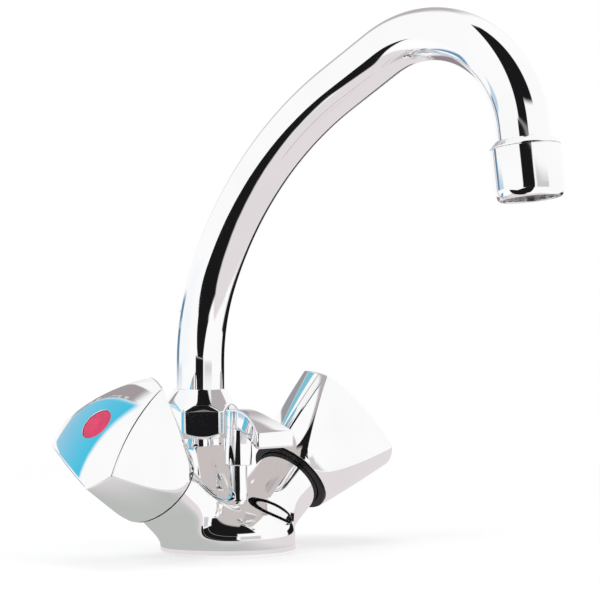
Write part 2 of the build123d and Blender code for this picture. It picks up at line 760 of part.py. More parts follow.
# What is alike on both arms
for side, side_name in SIDE_NAMES.items():
    section = arm_section(side)
    axis = arm_axis(side)

    # Headwork body: thread in the arm, hexagon, and the neck that guides the spindle
    headwork_radius = headwork_bore_radius - running_gap
    collar_end = spindle_collar_front + running_gap
    with BuildPart() as headwork_body:
        revolve(ring(section, 0, headwork_radius, headwork_foot, headwork_hex_foot), axis=axis)
        spanner_hexagon = hexagon(arm_plane(side, headwork_hex_foot), headwork_hex_distance)
        extrude(spanner_hexagon, amount=headwork_hex_height)
        revolve(ring(section, 0, headwork_neck_radius, headwork_hex_end, headwork_neck_end), axis=axis)
        extrude(
            hexagon(arm_plane(side, headwork_foot), valve_hex_distance + running_gap),
            amount=spindle_collar_back - running_gap - headwork_foot,
            mode=Mode.SUBTRACT,
        )
        spindle_bore = turned(
            section,
            (0, headwork_foot),
            (spindle_collar_radius + running_gap, headwork_foot),
            (spindle_collar_radius + running_gap, collar_end),
            (spindle_radius + running_gap, collar_end),
            (spindle_radius + running_gap, headwork_neck_end),
            (0, headwork_neck_end),
        )
        revolve(spindle_bore, axis=axis, mode=Mode.SUBTRACT)
    finish(headwork_body, f"{side_name}_headwork_body")

    # Seal between the arm's end and the headwork's hexagon
    with BuildPart() as headwork_seal:
        revolve(
            ring(section, headwork_bore_radius, headwork_seal_radius, arm_end, headwork_hex_foot),
            axis=axis,
        )
    finish(headwork_seal, f"{side_name}_headwork_seal")

    # Spindle: thread for the valve, collar, journal with two grooves, and splines
    clip_foot = headwork_neck_end + 2 * running_gap
    clip_floor = spindle_radius - clip_depth
    ring_floor = spindle_radius - spindle_groove_depth
    groove_end = spindle_groove_at + spindle_groove_width
    screw_hole_floor = screw_head_at - screw_length - bore_gap
    with BuildPart() as spindle:
        shaft = turned(
            section,
            (0, spindle_foot),
            (spindle_thread_radius, spindle_foot),
            (spindle_thread_radius, spindle_collar_back),
            (spindle_collar_radius, spindle_collar_back),
            (spindle_collar_radius, spindle_collar_front),
            (spindle_radius, spindle_collar_front),
            (spindle_radius, spline_start),
            (spline_root, spline_start),
            (spline_root, spline_end),
            (0, spline_end),
        )
        revolve(shaft, axis=axis)
        with BuildSketch(arm_plane(side, spline_start)):
            with PolarLocations(spline_root, spline_count):
                Rectangle(2 * spline_depth, spline_width)
            Circle(spindle_radius - running_gap, mode=Mode.INTERSECT)
        extrude(amount=spline_end - spline_start)
        ring_groove = ring(section, ring_floor, spindle_radius, spindle_groove_at, groove_end)
        revolve(ring_groove, axis=axis, mode=Mode.SUBTRACT)
        clip_groove = ring(section, clip_floor, spindle_radius, clip_foot, clip_foot + clip_thickness)
        revolve(clip_groove, axis=axis, mode=Mode.SUBTRACT)
        revolve(
            ring(section, 0, screw_radius + screw_gap, screw_hole_floor, spline_end),
            axis=axis,
            mode=Mode.SUBTRACT,
        )
    finish(spindle, f"{side_name}_spindle")

    # Spindle's O-ring, in its first groove
    with BuildPart() as spindle_o_ring:
        o_ring = ring(
            section,
            ring_floor,
            spindle_radius + running_gap / 2,
            spindle_groove_at + running_gap,
            groove_end - running_gap,
        )
        revolve(o_ring, axis=axis)
    finish(spindle_o_ring, f"{side_name}_spindle_o_ring")

    # Spindle's clip, open on one side, in its second groove
    clip_radius = clip_floor + clip_width
    with BuildPart() as spindle_clip:
        with BuildSketch(arm_plane(side, clip_foot)):
            Circle(clip_radius)
            Circle(clip_floor + screw_gap, mode=Mode.SUBTRACT)
            with Locations((clip_radius, 0)):
                Rectangle(2 * clip_radius, clip_opening, mode=Mode.SUBTRACT)
        extrude(amount=clip_thickness)
    finish(spindle_clip, f"{side_name}_spindle_clip")

    # Valve cone: a disc under a hexagon that can't turn, threaded on the spindle
    with BuildPart() as valve_cone:
        revolve(ring(section, 0, valve_disc_radius, valve_disc_foot, valve_disc_end), axis=axis)
        extrude(
            hexagon(arm_plane(side, valve_disc_end), valve_hex_distance),
            amount=valve_hex_end - valve_disc_end,
        )
        revolve(
            ring(section, 0, spindle_thread_radius + screw_gap, valve_bore_floor, valve_hex_end),
            axis=axis,
            mode=Mode.SUBTRACT,
        )
        valve_screw_end = seat_top + valve_screw_length
        revolve(
            ring(section, 0, valve_screw_radius + screw_gap, valve_disc_foot, valve_screw_end + bore_gap),
            axis=axis,
            mode=Mode.SUBTRACT,
        )
    finish(valve_cone, f"{side_name}_valve_cone")

    # Valve washer, closed on the seat
    with BuildPart() as valve_washer:
        revolve(
            ring(section, valve_screw_radius + screw_gap, valve_washer_radius, seat_top, valve_disc_foot),
            axis=axis,
        )
    finish(valve_washer, f"{side_name}_valve_washer")

    # Valve screw, slotted, its head under the washer
    valve_screw_foot = seat_top - valve_screw_head_height
    with BuildPart() as valve_screw:
        revolve(ring(section, 0, valve_screw_head_radius, valve_screw_foot, seat_top), axis=axis)
        revolve(ring(section, 0, valve_screw_radius, seat_top, valve_screw_end), axis=axis)
        with BuildSketch(arm_plane(side, valve_screw_foot)):
            Rectangle(2 * valve_screw_head_radius, screw_slot_width)
        extrude(amount=valve_screw_head_height / 2, mode=Mode.SUBTRACT)
    finish(valve_screw, f"{side_name}_valve_screw")

    # Handle core: visible flange, skirt over the arm, web, and a splined hub
    core_flange_radius = handle_mouth_radius - handle_lip_wall - screw_gap
    hub_bore_radius = headwork_neck_radius + bore_gap
    with BuildPart() as handle_core:
        core = turned(
            section,
            (core_inner_radius, core_flange_back),
            (core_flange_radius, core_flange_back),
            (core_flange_radius, core_flange_front),
            (core_skirt_radius, core_flange_front),
            (core_skirt_radius, core_web_end),
            (core_hub_radius, core_web_end),
            (core_hub_radius, handle_roof),
            (screw_radius + soft_gap, handle_roof),
            (screw_radius + soft_gap, spline_end),
            (spline_root + running_gap, spline_end),
            (spline_root + running_gap, spline_start),
            (hub_bore_radius, spline_start),
            (hub_bore_radius, core_web_at),
            (core_inner_radius, core_web_at),
        )
        revolve(core, axis=axis)
        with BuildSketch(arm_plane(side, spline_start)):
            with PolarLocations(spline_root, spline_count):
                Rectangle(2 * spline_depth + running_gap, spline_width + 2 * running_gap)
            Circle(spindle_radius, mode=Mode.INTERSECT)
        extrude(amount=spline_end - spline_start, mode=Mode.SUBTRACT)
    finish(handle_core, f"{side_name}_handle_core")

    # Handle shell: three flats, domed end, with a stepped hole for screw and cap
    outside = handle_form(side)
    inside = handle_cavity(side)
    with BuildPart() as handle_shell:
        add(outside)
        add(inside, mode=Mode.SUBTRACT)
        mouth_radius = handle_mouth_radius - handle_lip_wall
        revolve(
            ring(section, 0, mouth_radius, handle_mouth, core_flange_front),
            axis=axis,
            mode=Mode.SUBTRACT,
        )
        screw_hole = turned(
            section,
            (0, handle_roof),
            (screw_radius + soft_gap, handle_roof),
            (screw_radius + soft_gap, screw_head_at),
            (screw_head_radius + soft_gap, screw_head_at),
            (screw_head_radius + soft_gap, cap_seat),
            (cap_radius + cap_gap, cap_seat),
            (cap_radius + cap_gap, handle_crown),
            (0, handle_crown),
        )
        revolve(screw_hole, axis=axis, mode=Mode.SUBTRACT)
    finish(handle_shell, f"{side_name}_handle_shell")

    # Handle screw, from under the cap into the spindle
    screw_head_end = screw_head_at + screw_head_height
    with BuildPart() as handle_screw:
        revolve(ring(section, 0, screw_head_radius, screw_head_at, screw_head_end), axis=axis)
        revolve(ring(section, 0, screw_radius, screw_head_at - screw_length, screw_head_at), axis=axis)
        with BuildSketch(arm_plane(side, screw_head_end)):
            Rectangle(2 * screw_head_radius, screw_slot_width)
        extrude(amount=-screw_slot_depth, mode=Mode.SUBTRACT)
    finish(handle_screw, f"{side_name}_handle_screw")

    # Index cap, a little sunk in the handle's end
    cap_edge = cap_crown - handle_dome_radius + sqrt(handle_dome_radius**2 - cap_radius**2)
    with BuildPart() as index_cap:
        with BuildSketch(section):
            with BuildLine():
                Polyline(
                    (0, cap_crown),
                    (0, cap_seat),
                    (cap_radius, cap_seat),
                    (cap_radius, cap_edge),
                )
                RadiusArc((cap_radius, cap_edge), (0, cap_crown), -handle_dome_radius)
            make_face()
        revolve(axis=axis)
    finish(index_cap, f"{side_name}_index_cap")
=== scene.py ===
import json
import bpy
import numpy as np
from mathutils import Matrix


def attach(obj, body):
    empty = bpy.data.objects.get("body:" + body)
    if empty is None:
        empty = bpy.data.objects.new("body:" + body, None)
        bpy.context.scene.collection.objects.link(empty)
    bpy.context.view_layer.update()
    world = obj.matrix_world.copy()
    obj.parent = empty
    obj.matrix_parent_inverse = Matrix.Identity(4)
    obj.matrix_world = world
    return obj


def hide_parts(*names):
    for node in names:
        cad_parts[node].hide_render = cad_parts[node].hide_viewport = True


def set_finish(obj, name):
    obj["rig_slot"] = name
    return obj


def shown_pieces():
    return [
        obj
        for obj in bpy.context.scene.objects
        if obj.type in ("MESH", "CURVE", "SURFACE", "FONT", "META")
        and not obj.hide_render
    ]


# %% [markdown]
# # A basin mixer in chrome
#
# The tap stands on a washbasin: two triangular handles on arms that rise to both sides, a bent
# spout that swings round, and a small knob in front that lifts the waste. The CAD model is the
# frame. Everything here is in metres, +Z up, and sits where the CAD says, so nothing is fitted
# by eye. Pieces that the camera sees as polished metal get a finer skin than the CAD's own mesh,
# because a mirror shows every facet.

# %% Load the CAD model
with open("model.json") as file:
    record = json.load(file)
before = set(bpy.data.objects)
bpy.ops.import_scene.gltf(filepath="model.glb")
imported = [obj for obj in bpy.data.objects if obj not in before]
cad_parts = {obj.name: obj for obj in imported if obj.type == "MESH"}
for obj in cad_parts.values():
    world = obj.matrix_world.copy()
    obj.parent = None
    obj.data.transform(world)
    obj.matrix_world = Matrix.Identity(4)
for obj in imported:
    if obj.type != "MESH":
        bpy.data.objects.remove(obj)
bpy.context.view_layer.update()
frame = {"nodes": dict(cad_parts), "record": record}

# %% [markdown]
# ## A way to build skins
#
# A turned or drawn piece is a grid of points: its rows follow a profile, its columns go round.
# Blender could spin a profile with a Screw modifier. A grid worked out with numpy was chosen,
# because the same few lines then also make the faceted handles and the bent tube, and every
# point lies exactly on the shape that the formula gives.

# %% Directions and places to build on
MM = 0.001
UP = np.array([0.0, 0.0, 1.0])


def unit(vectors):
    """Each vector divided by its own length."""
    return vectors / np.linalg.norm(vectors, axis=-1, keepdims=True)


def spot(origin, axis, start):
    """A place to build round: an origin, the direction at turn zero, the one a quarter turn on,
    and the axis."""
    axis, start = unit(np.array(axis, float)), unit(np.array(start, float))
    return np.array(origin, float), start, np.cross(axis, start), axis


def around(place, radius, turn, height):
    """Points round an axis: origin + radius (cos turn start + sin turn across) + height axis."""
    origin, start, across, axis = place
    radius, turn, height = np.broadcast_arrays(radius, turn, height)
    outward = np.cos(turn)[..., None] * start + np.sin(turn)[..., None] * across
    return origin + radius[..., None] * outward + height[..., None] * axis


# %% Rounded paths
def rounded(points, rounding, steps=6):
    """A path through corners, each with a rounding radius. At a corner with half angle a, the arc
    starts radius / tan a before it, ends as far after it, and its centre is radius / sin a along
    the angle's middle. One more point before and after each arc keeps the light straight up to it.
    points is (..., corners, dimensions); a corner without rounding stays one point."""
    points, rounding = np.asarray(points, float), np.asarray(rounding, float)
    radius = np.maximum(rounding, 1e-9)[:, None]
    with np.errstate(invalid="ignore", divide="ignore"):
        back = unit(np.roll(points, 1, -2) - points)
        ahead = unit(np.roll(points, -1, -2) - points)
        half = np.arccos(np.clip((back * ahead).sum(-1, keepdims=True), -1, 1)) / 2
        reach = radius / np.tan(half)
        middle = points + unit(back + ahead) * radius / np.sin(half)
        first, last = points + back * reach - middle, points + ahead * reach - middle
        share = np.linspace(0, 1, steps)[:, None]
        sweep, first, last = (x[..., None, :] for x in (np.pi - 2 * half, first, last))
        arc = np.sin((1 - share) * sweep) * first + np.sin(share * sweep) * last
        arc = arc / np.sin(sweep)
        guard = reach + 0.4 * radius
        before, after = points + back * guard, points + ahead * guard
    before, middle, after = (x[..., None, :] for x in (before, middle, after))
    path = np.concatenate([before, middle + arc, after], -2)
    plain = np.broadcast_to(points[..., None, :], path.shape)
    path = np.where((rounding > 0)[:, None, None], path, plain)
    kept = np.ones(path.shape[-3:-1], bool)
    kept[rounding <= 0, 1:] = False
    return path.reshape(*path.shape[:-3], -1, path.shape[-1])[..., kept.ravel(), :]


print("a rounded square has", len(rounded([(0, 0), (1, 0), (1, 1), (0, 1)], [0.1] * 4)), "points")


# %% Grids of points become meshes
def put(name, data):
    """A new object with its data, in the scene."""
    new = bpy.data.objects.new(name, data)
    bpy.context.scene.collection.objects.link(new)
    return new


def grid_corners(rows, columns, ring):
    """The point numbers at each face's corners. Columns close on themselves. The rows close too in
    a ring; otherwise the first and the last row are one point each, a pole."""
    number = np.arange(rows * columns).reshape(rows, columns)
    if not ring:
        number[0], number[-1] = number[0, 0], number[-1, 0]
    low = number if ring else number[:-1]
    high = np.roll(number, -1, 0) if ring else number[1:]
    corners = np.stack([low, np.roll(low, -1, 1), np.roll(high, -1, 1), high], -1).reshape(-1, 4)
    low_pole, high_pole = corners[:, 0] == corners[:, 1], corners[:, 2] == corners[:, 3]
    triangles = np.concatenate([corners[low_pole][:, [0, 2, 3]], corners[high_pole][:, :3]])
    return corners[~(low_pole | high_pole)], triangles


def outward_faces(points, quads, triangles):
    """The faces, turned so that they look outwards: the sum of a . (b x c) / 6 over a closed skin's
    triangles is its volume, and it is negative when the faces look in."""
    halves = np.concatenate([quads[:, [0, 1, 2]], quads[:, [0, 2, 3]], triangles])
    a, b, c = points[halves[:, 0]], points[halves[:, 1]], points[halves[:, 2]]
    if (a * np.cross(b, c)).sum() < 0:
        quads, triangles = quads[:, ::-1], triangles[:, ::-1]
    return quads.tolist() + triangles.tolist()


def new_piece(name, points, quads, triangles, sharp=40):
    """A mesh object of closed skins, smooth but for edges sharper than an angle in degrees."""
    used, place = np.unique(np.concatenate([quads.ravel(), triangles.ravel()]), return_inverse=True)
    points = points[used]
    quads = place[: quads.size].reshape(-1, 4)
    triangles = place[place.size - triangles.size :].reshape(-1, 3)
    mesh = bpy.data.meshes.new(name)
    mesh.from_pydata(points, [], outward_faces(points, quads, triangles))
    mesh.shade_smooth()
    mesh.set_sharp_from_angle(angle=np.radians(sharp))
    print(f"{name}: {len(points)} points, {2 * len(quads) + len(triangles)} triangles")
    return put(name, mesh)


def grid_piece(name, points, ring, sharp=40):
    """A piece from one grid of points, (rows, columns, 3)."""
    quads, triangles = grid_corners(*points.shape[:2], ring)
    return new_piece(name, points.reshape(-1, 3), quads, triangles, sharp)


def turned_piece(name, place, corners, columns=96, sharp=40):
    """A turned piece: its profile's corners are (radius, height, rounding) in millimetres. A
    profile that starts on the axis also ends there; any other closes to a ring."""
    corners = np.array(corners, float)
    profile = rounded(corners[:, :2], corners[:, 2]) * MM
    turn = np.linspace(0, 2 * np.pi, columns, endpoint=False)
    points = around(place, profile[:, :1], turn, profile[:, 1:])
    return grid_piece(name, points, ring=corners[0, 0] > 0, sharp=sharp)


# %% [markdown]
# ## Where the axes are
#
# The neck stands behind the middle, the lift rod in front of it, and each arm points outwards
# and up at 40 degrees from the middle of the body. These are the CAD's own lines.

# %% The axes of neck, rod and arms
ARM_RISE = np.radians(40)
ARM_RADIUS = 12.6
ARM_END = 43.5
ARM_Y = 1.3
ARM_Z = -18.3 + ARM_RADIUS / np.cos(ARM_RISE)
NECK_Y = 15.6
ROD_Y = -5.5
SIDES = {"hot": -1, "cold": 1}

neck = spot((0, NECK_Y * MM, 0), UP, (1, 0, 0))
rod = spot((0, ROD_Y * MM, 0), UP, (1, 0, 0))


def arm_spot(side):
    """An arm's axis: it points outwards and up, and turn zero is the direction square to it that
    points most nearly up."""
    across, rise = np.cos(ARM_RISE), np.sin(ARM_RISE)
    return spot((0, ARM_Y * MM, ARM_Z * MM), (side * across, 0, rise), (-side * rise, 0, across))


arms = {name: arm_spot(side) for name, side in SIDES.items()}
print("arm directions:", {name: arm[3].round(3) for name, arm in arms.items()})

# %% [markdown]
# ## The spout's line
#
# The spout is one drawn tube, bent in an upright plane that stands 8.9 degrees off the front.
# It rises straight out of its nut, leans forward in two wide bends, and turns down in a tight
# one. A curve object could carry it, but its bends would only nearly be arcs. Here the line is
# added up from its heading, which is what a tube bender sets: how far, and how much turn.

# %% Heading of the spout, from its foot to its end
SPOUT_TURN = np.radians(8.9)
SPOUT_FOOT = 52.6
spout_forward = np.array([np.sin(SPOUT_TURN), -np.cos(SPOUT_TURN), 0.0])
spout_side = np.cross(UP, spout_forward)
BENDS = [(82.4, 21.8), (133.8, 38.15), (37.8, 112.8)]  # radius in mm, turn in degrees
FOOT_RUN, LEANING_RUN, END_RUN = 15.4, 22.15, 11.05
first_arc, second_arc, last_arc = [radius * np.radians(turn) for radius, turn in BENDS]
knots = np.cumsum([0, FOOT_RUN, first_arc, second_arc, LEANING_RUN, last_arc, END_RUN])
headings = np.radians([0, 0, 21.8, 59.95, 59.95, 172.75, 172.75])
FINE_STEPS = 6000


def spout_path(rows, soften=2.0):
    """Points and directions along the spout. The heading changes evenly along each bend, eased
    over a few millimetres where bends meet. A point is the foot plus the sum of
    (sin heading forward + cos heading up) times each short step."""
    fine = np.linspace(0, knots[-1], FINE_STEPS + 1)
    ease = np.linspace(-soften, soften, 9)
    heading = np.interp(fine[:, None] + ease, knots, headings).mean(1)
    ways = np.sin(heading)[:, None] * spout_forward + np.cos(heading)[:, None] * UP
    steps = (ways[1:] + ways[:-1]) / 2 * np.diff(fine)[:, None]
    line = np.array([0, NECK_Y, SPOUT_FOOT]) + np.concatenate([[[0, 0, 0]], np.cumsum(steps, 0)])
    at = np.linspace(0, FINE_STEPS, rows).astype(int)
    return line[at] * MM, unit(ways[at])


spout_line, spout_ways = spout_path(300)
outlet = spot(spout_line[-1], spout_ways[-1], spout_side)
print("spout", knots[-1].round(1), "mm long, outlet at", (spout_line[-1] / MM).round(1))


# %% Spout tube
def tube_along(line, ways, radius, columns=96):
    """A round section carried along a line: each point is the line's point plus radius times
    (cos turn side + sin turn (way x side)). The side stays the same, as in any flat bend."""
    turn = np.linspace(0, 2 * np.pi, columns, endpoint=False)[None, :, None]
    bow = np.cross(ways, spout_side)[:, None, :]
    return line[:, None, :] + radius * (np.cos(turn) * spout_side + np.sin(turn) * bow)


TUBE_RADIUS = 9.0
TUBE_WALL = 1.0
outside = tube_along(spout_line, spout_ways, TUBE_RADIUS * MM)
inside = tube_along(spout_line[::-3], spout_ways[::-3], (TUBE_RADIUS - TUBE_WALL) * MM)
spout_tube = grid_piece("spout_tube_drawn", np.concatenate([outside, inside]), ring=True)
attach(spout_tube, "spout")
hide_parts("spout_tube")
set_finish(spout_tube, "chrome")

# %% [markdown]
# ## End sleeve and aerator
#
# On the spout's end sits a sleeve with a sloping shoulder, and the aerator screws onto it. Both
# are turned pieces, so a profile with small roundings is spun round the water's axis. The fine
# line between them is a real joint: the two edges are each rounded a little.

# %% Sleeve and aerator housing
sleeve_profile = [
    (9.03, -6.4, 0.15), (9.55, -6.4, 0.15), (11.6, -4.35, 0.7), (11.65, -3.95, 0.1),
    (10.0, -3.95, 0), (10.0, 4.0, 0), (8.0, 4.0, 0), (8.0, 0.03, 0), (9.03, 0.03, 0),
]
end_sleeve = turned_piece("end_sleeve_turned", outlet, sleeve_profile)
# The housing's lip is nearly a quarter of an ellipse, with half axes of 1.55 and 3.9 mm.
lip_turn = np.radians(np.linspace(0, 80, 9))
lip_radius, lip_height = 10.1 + 1.55 * np.cos(lip_turn), 9.3 + 3.9 * np.sin(lip_turn)
housing_lip = np.stack([lip_radius, lip_height, 0 * lip_turn], 1)
housing_profile = [
    (10.03, -3.9, 0), (11.65, -3.9, 0.18), *housing_lip, (10.1, 13.2, 0.35), (8.9, 13.2, 0.25),
    (8.9, 12.15, 0), (9.33, 12.15, 0), (9.33, 6.25, 0), (10.03, 6.25, 0),
]
housing = turned_piece("aerator_housing_turned", outlet, housing_profile)
for piece, node in ((end_sleeve, "spout_end_sleeve"), (housing, "aerator_housing")):
    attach(piece, "spout")
    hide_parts(node)
    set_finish(piece, "chrome")

# %% [markdown]
# ## Flats on a turned form
#
# The handles and the union nut are turned forms with flats cut on them. A Boolean cut would
# leave edges that are perfectly sharp, and polished metal never is. Instead, each row of the
# grid takes the smaller of two radii, the turned one and the flat's, with a soft step between
# them. The columns follow the line where the two meet, so that the edge stays crisp.

# %% Finer profiles, and columns that follow the edge of a flat
def finer(profile, step):
    """The same path with more points, so that no two are farther apart than a step."""
    counts = np.ceil(np.linalg.norm(np.diff(profile, axis=0), axis=1) / step).astype(int)
    pairs = zip(profile, profile[1:], counts)
    runs = [np.linspace(a, b, count, endpoint=False) for a, b, count in pairs]
    return np.concatenate([*runs, profile[-1:]])


LOW = np.array([0, 0.25, 0.5, 0.75, 0.92])
EDGE = np.array([-3, -2, -1.4, -0.9, -0.45, 0, 0.45, 0.9, 1.4, 2, 3])
HIGH = np.array([0.12, 0.3, 0.5, 0.75, 1])
half_columns = np.concatenate([LOW - 2, EDGE / 3, 1 + HIGH])
LEAST_ANGLE = 0.06  # radians that an edge keeps from the middle of its flat and from the corner


def facet_columns(facets):
    """For each column, its place between the middle of its flat and the corner (-2 to 2, with
    the edge from -1 to 1), whether it is on the flat's first half, and its flat's number."""
    place = np.concatenate([half_columns[-2:0:-1], half_columns])
    mirrored = np.arange(len(place)) < len(half_columns) - 2
    flat = np.repeat(np.arange(facets), len(place))
    return np.tile(place, facets), np.tile(mirrored, facets), flat


def faceted(turned_radius, flat_radius, facets, soft=0.3, first=0.0):
    """Turn and radius of every point of a form with flats. The flat's edge is where
    turned radius = flat radius / cos(angle from the flat's middle). The radius is a soft minimum:
    the mean of the two, less half the root of (their difference squared + soft squared)."""
    place, mirrored, flat = facet_columns(facets)
    half = np.pi / facets
    turned_radius, flat_radius = np.broadcast_arrays(turned_radius, flat_radius)
    edge = np.arccos(np.clip(flat_radius / turned_radius, -1, np.cos(LEAST_ANGLE)))
    edge = np.minimum(edge, half - LEAST_ANGLE)
    widest = 0.8 * np.minimum(edge, half - edge)
    band = np.minimum(3 * soft / (np.tan(edge) * turned_radius), widest)
    low, high = edge - band, edge + band
    angle = np.where(place < -1, low * (place + 2), edge + band * place)
    angle = np.where(place > 1, high + (half - high) * (place - 1), angle)
    cut = flat_radius / np.cos(angle)
    radius = (turned_radius + cut - np.sqrt((turned_radius - cut) ** 2 + soft**2)) / 2
    turn = first + 2 * half * flat + np.where(mirrored, -angle, angle)
    return turn, radius


# %% Union nut: a cone over a hexagon
NUT_FLAT_RADIUS = 12.85
NUT_TURN = np.radians(-127)
nut_outside = np.array([
    (10.98, 40.4, 0), (12.35, 40.4, 0.25), (14.4, 42.45, 0.5),
    (14.4, 50.4, 0.8), (9.6, 58.2, 0.2), (9.05, 58.3, 0),
])
nut_inside = np.array([(9.05, 58.3), (9.05, 53.25), (10.98, 53.25), (10.98, 40.4)])
outer = finer(rounded(nut_outside[:, :2], nut_outside[:, 2])[1:-1], 0.3)
turn, radius = faceted(outer[:, :1], NUT_FLAT_RADIUS, 6, soft=0.25, first=NUT_TURN)
outer_points = around(neck, radius * MM, turn, outer[:, 1:] * MM)
inner_points = around(neck, nut_inside[:, :1] * MM, turn[:1], nut_inside[:, 1:] * MM)
union_nut = grid_piece("union_nut_faceted", np.concatenate([outer_points, inner_points]), ring=True)
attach(union_nut, "body")
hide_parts("spout_union_nut")
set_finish(union_nut, "chrome")

# %% [markdown]
# ## Handles
#
# Each handle is a hollow casting that flares from a round mouth to a rounded triangle, with a
# slightly domed end. It could be a lofted subdivision cage. The formula was chosen, because its
# flats are truly flat, and a flat mirror shows one calm reflection, as on the real handle.

# %% The handle's walls
MOUTH = 42.2
MOUTH_RADIUS = 15.95
FLARE = np.tan(np.radians(17.15))
FLAT_RADIUS = 16.2
FLAT_TAPER = np.tan(np.radians(1.75))
CROWN = 78.0
SHOULDER_RADIUS = MOUTH_RADIUS + 30.9 * FLARE
DOME_RISE = 4.9
DOME = (SHOULDER_RADIUS**2 + DOME_RISE**2) / (2 * DOME_RISE)  # radius of the domed end
WALL = 2.0


def handle_wall(heights, first, thinner=0.0):
    """Turn and radius of each column at its own distance along the arm: a flared round form with
    three flats that lean out a little. thinner moves the wall inwards."""
    beyond = heights[:, None] - MOUTH
    turned = MOUTH_RADIUS - thinner + beyond * FLARE
    flat = FLAT_RADIUS - thinner + beyond * FLAT_TAPER
    turn, radius = faceted(turned, flat, 3, soft=0.28, first=first)
    return np.diagonal(turn), np.diagonal(radius)


def wall_end(first):
    """Where each column of the wall meets the domed end, found by halving: the dome's radius is
    the root of (dome radius squared - distance from its centre squared)."""
    columns = len(facet_columns(3)[0])
    low, high = np.full(columns, MOUTH + 5), np.full(columns, CROWN - 0.01)
    for _ in range(40):
        middle = (low + high) / 2
        dome = np.sqrt(DOME**2 - (middle - CROWN + DOME) ** 2)
        inside = handle_wall(middle, first)[1] < dome
        low, high = np.where(inside, middle, low), np.where(inside, high, middle)
    return low


print("wall ends", wall_end(0).min().round(2), "to", wall_end(0).max().round(2), "mm along the arm")


# %% Handle shells
SCREW_STEPS = [(6.12, 75.5), (3.8, 75.5), (3.8, 71.6), (2.3, 71.6), (2.3, 69.0)]
ROOF_INSIDE, MOUTH_STEP, MOUTH_INSIDE = 69.0, 1.0, 15.4


def handle_shell(name, place, first):
    """A shell as one ring: up the wall, round the edge, over the dome to the cap's recess, down
    the stepped screw hole, and back along the inside to the mouth."""
    end = wall_end(first)
    columns = len(end)

    def row(radius, height, turn):
        """A row at one radius and height, or at each column's own."""
        return around(place, np.full(columns, radius) * MM, turn, np.full(columns, height) * MM)

    def wall_row(height, thinner=0.0):
        """A row on the wall."""
        turn, radius = handle_wall(np.full(columns, height), first, thinner)
        return row(radius, height, turn)

    def dome_row(radius):
        """A row on the domed end."""
        return row(radius, CROWN - DOME + np.sqrt(DOME**2 - radius**2), edge_turn)

    share = np.sin(np.linspace(0, np.pi / 2, 26))
    wall = [wall_row(h) for h in MOUTH + 0.5 + share[:, None] * (end - 1.6 - MOUTH - 0.5)]
    edge_turn, edge_radius = handle_wall(end, first)
    dome = [dome_row(6.5 + (edge_radius - 6.5) * k) for k in (0.93, 0.8, 0.6, 0.4, 0.2, 0.06)]
    recess = [dome_row(np.full(columns, SCREW_STEPS[0][0]))]
    recess += [row(radius, height, edge_turn) for radius, height in SCREW_STEPS]
    inner = [wall_row(h, WALL) for h in np.linspace(ROOF_INSIDE, MOUTH + MOUTH_STEP, 12)]
    mouth_turn = handle_wall(np.full(columns, MOUTH), first)[0]
    mouth = [row(MOUTH_INSIDE, height, mouth_turn) for height in (MOUTH + MOUTH_STEP, MOUTH)]
    mouth.append(wall_row(MOUTH))
    path = [*wall, wall_row(end), *dome, *recess, *inner, *mouth]
    rounding = np.zeros(len(path))
    rounding[len(wall)] = 0.75
    rounding[len(wall) + 1 + len(dome)] = 0.2
    rounding[-2:] = 0.12, 0.2
    grid = rounded(np.stack(path, 1) / MM, rounding).transpose(1, 0, 2) * MM
    return grid_piece(name, grid, ring=True, sharp=38)


corner_turns = {"hot": np.radians(-26.5), "cold": np.radians(12.1)}
for name, arm in arms.items():
    shell = handle_shell(f"{name}_handle_polished", arm, corner_turns[name] + np.pi / 3)
    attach(shell, f"{name}_handle")
    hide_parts(f"{name}_handle_shell")
    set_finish(shell, "chrome")

# %% [markdown]
# ## Index caps
#
# A coloured cap closes the screw hole of each handle: red for hot, blue for cold. The caps are
# moulded, with a soft edge, and follow the dome.

# %% Caps
CAP_CROWN = 77.7
crown = [(r, CAP_CROWN - DOME + np.sqrt(DOME**2 - r**2), 0) for r in (5.0, 3.6, 2.2, 1.0)]
cap_profile = [(0, 75.5, 0), (6.0, 75.5, 0.15), (6.0, 77.44, 0.35), *crown, (0, CAP_CROWN, 0)]
for name, arm in arms.items():
    cap = turned_piece(f"{name}_cap_moulded", arm, cap_profile, columns=64)
    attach(cap, f"{name}_handle")
    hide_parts(f"{name}_index_cap")
    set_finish(cap, "red_plastic" if name == "hot" else "blue_plastic")

# %% [markdown]
# ## Lift rod and knob
#
# The rod is a plain turned bar. The knob is a small lever that is cast with its round boss: it
# starts narrow over the boss and widens to a straight tip. It is lofted: at each station from
# back to tip, a rectangle with rounded corners takes its width from the plan and its top and
# underside from the side view.

# %% Lift rod
rod_profile = [
    (0, 9.0, 0), (1.62, 9.0, 0), (1.62, 1.0, 0), (3.2, 1.0, 0.3), (3.2, 40.3, 0.3), (0, 40.3, 0),
]
lift_rod = turned_piece("lift_rod_turned", rod, rod_profile, columns=64)
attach(lift_rod, "lift")
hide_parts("lift_rod")
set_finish(lift_rod, "chrome")


# %% Shape of the knob, seen from the side and from above
BOSS_RADIUS = 4.9
TIP = 18.5
UNDER_BOSS, UNDER_TIP = 44.0, 38.3
NARROWEST = 7.6


def through(at, places, values):
    """The smooth curve through a few given points: the polynomial that meets them all."""
    return np.polyval(np.polyfit(places, values, len(places) - 1), at)


def knob_top(reach):
    """Height of the knob's back: a low crown over the boss that falls to the tip."""
    return through(reach, [-BOSS_RADIUS, 0, 10.3, 20.1], [50.4, 51.6, 49.3, 43.8])


def knob_under(reach):
    """Height of its underside: level under the boss, then an arc down to the tip."""
    arc = through(reach, [BOSS_RADIUS, 12.0, TIP], [UNDER_BOSS, 40.5, UNDER_TIP])
    return np.where(reach < BOSS_RADIUS, UNDER_BOSS, np.where(reach > TIP, UNDER_TIP, arc))


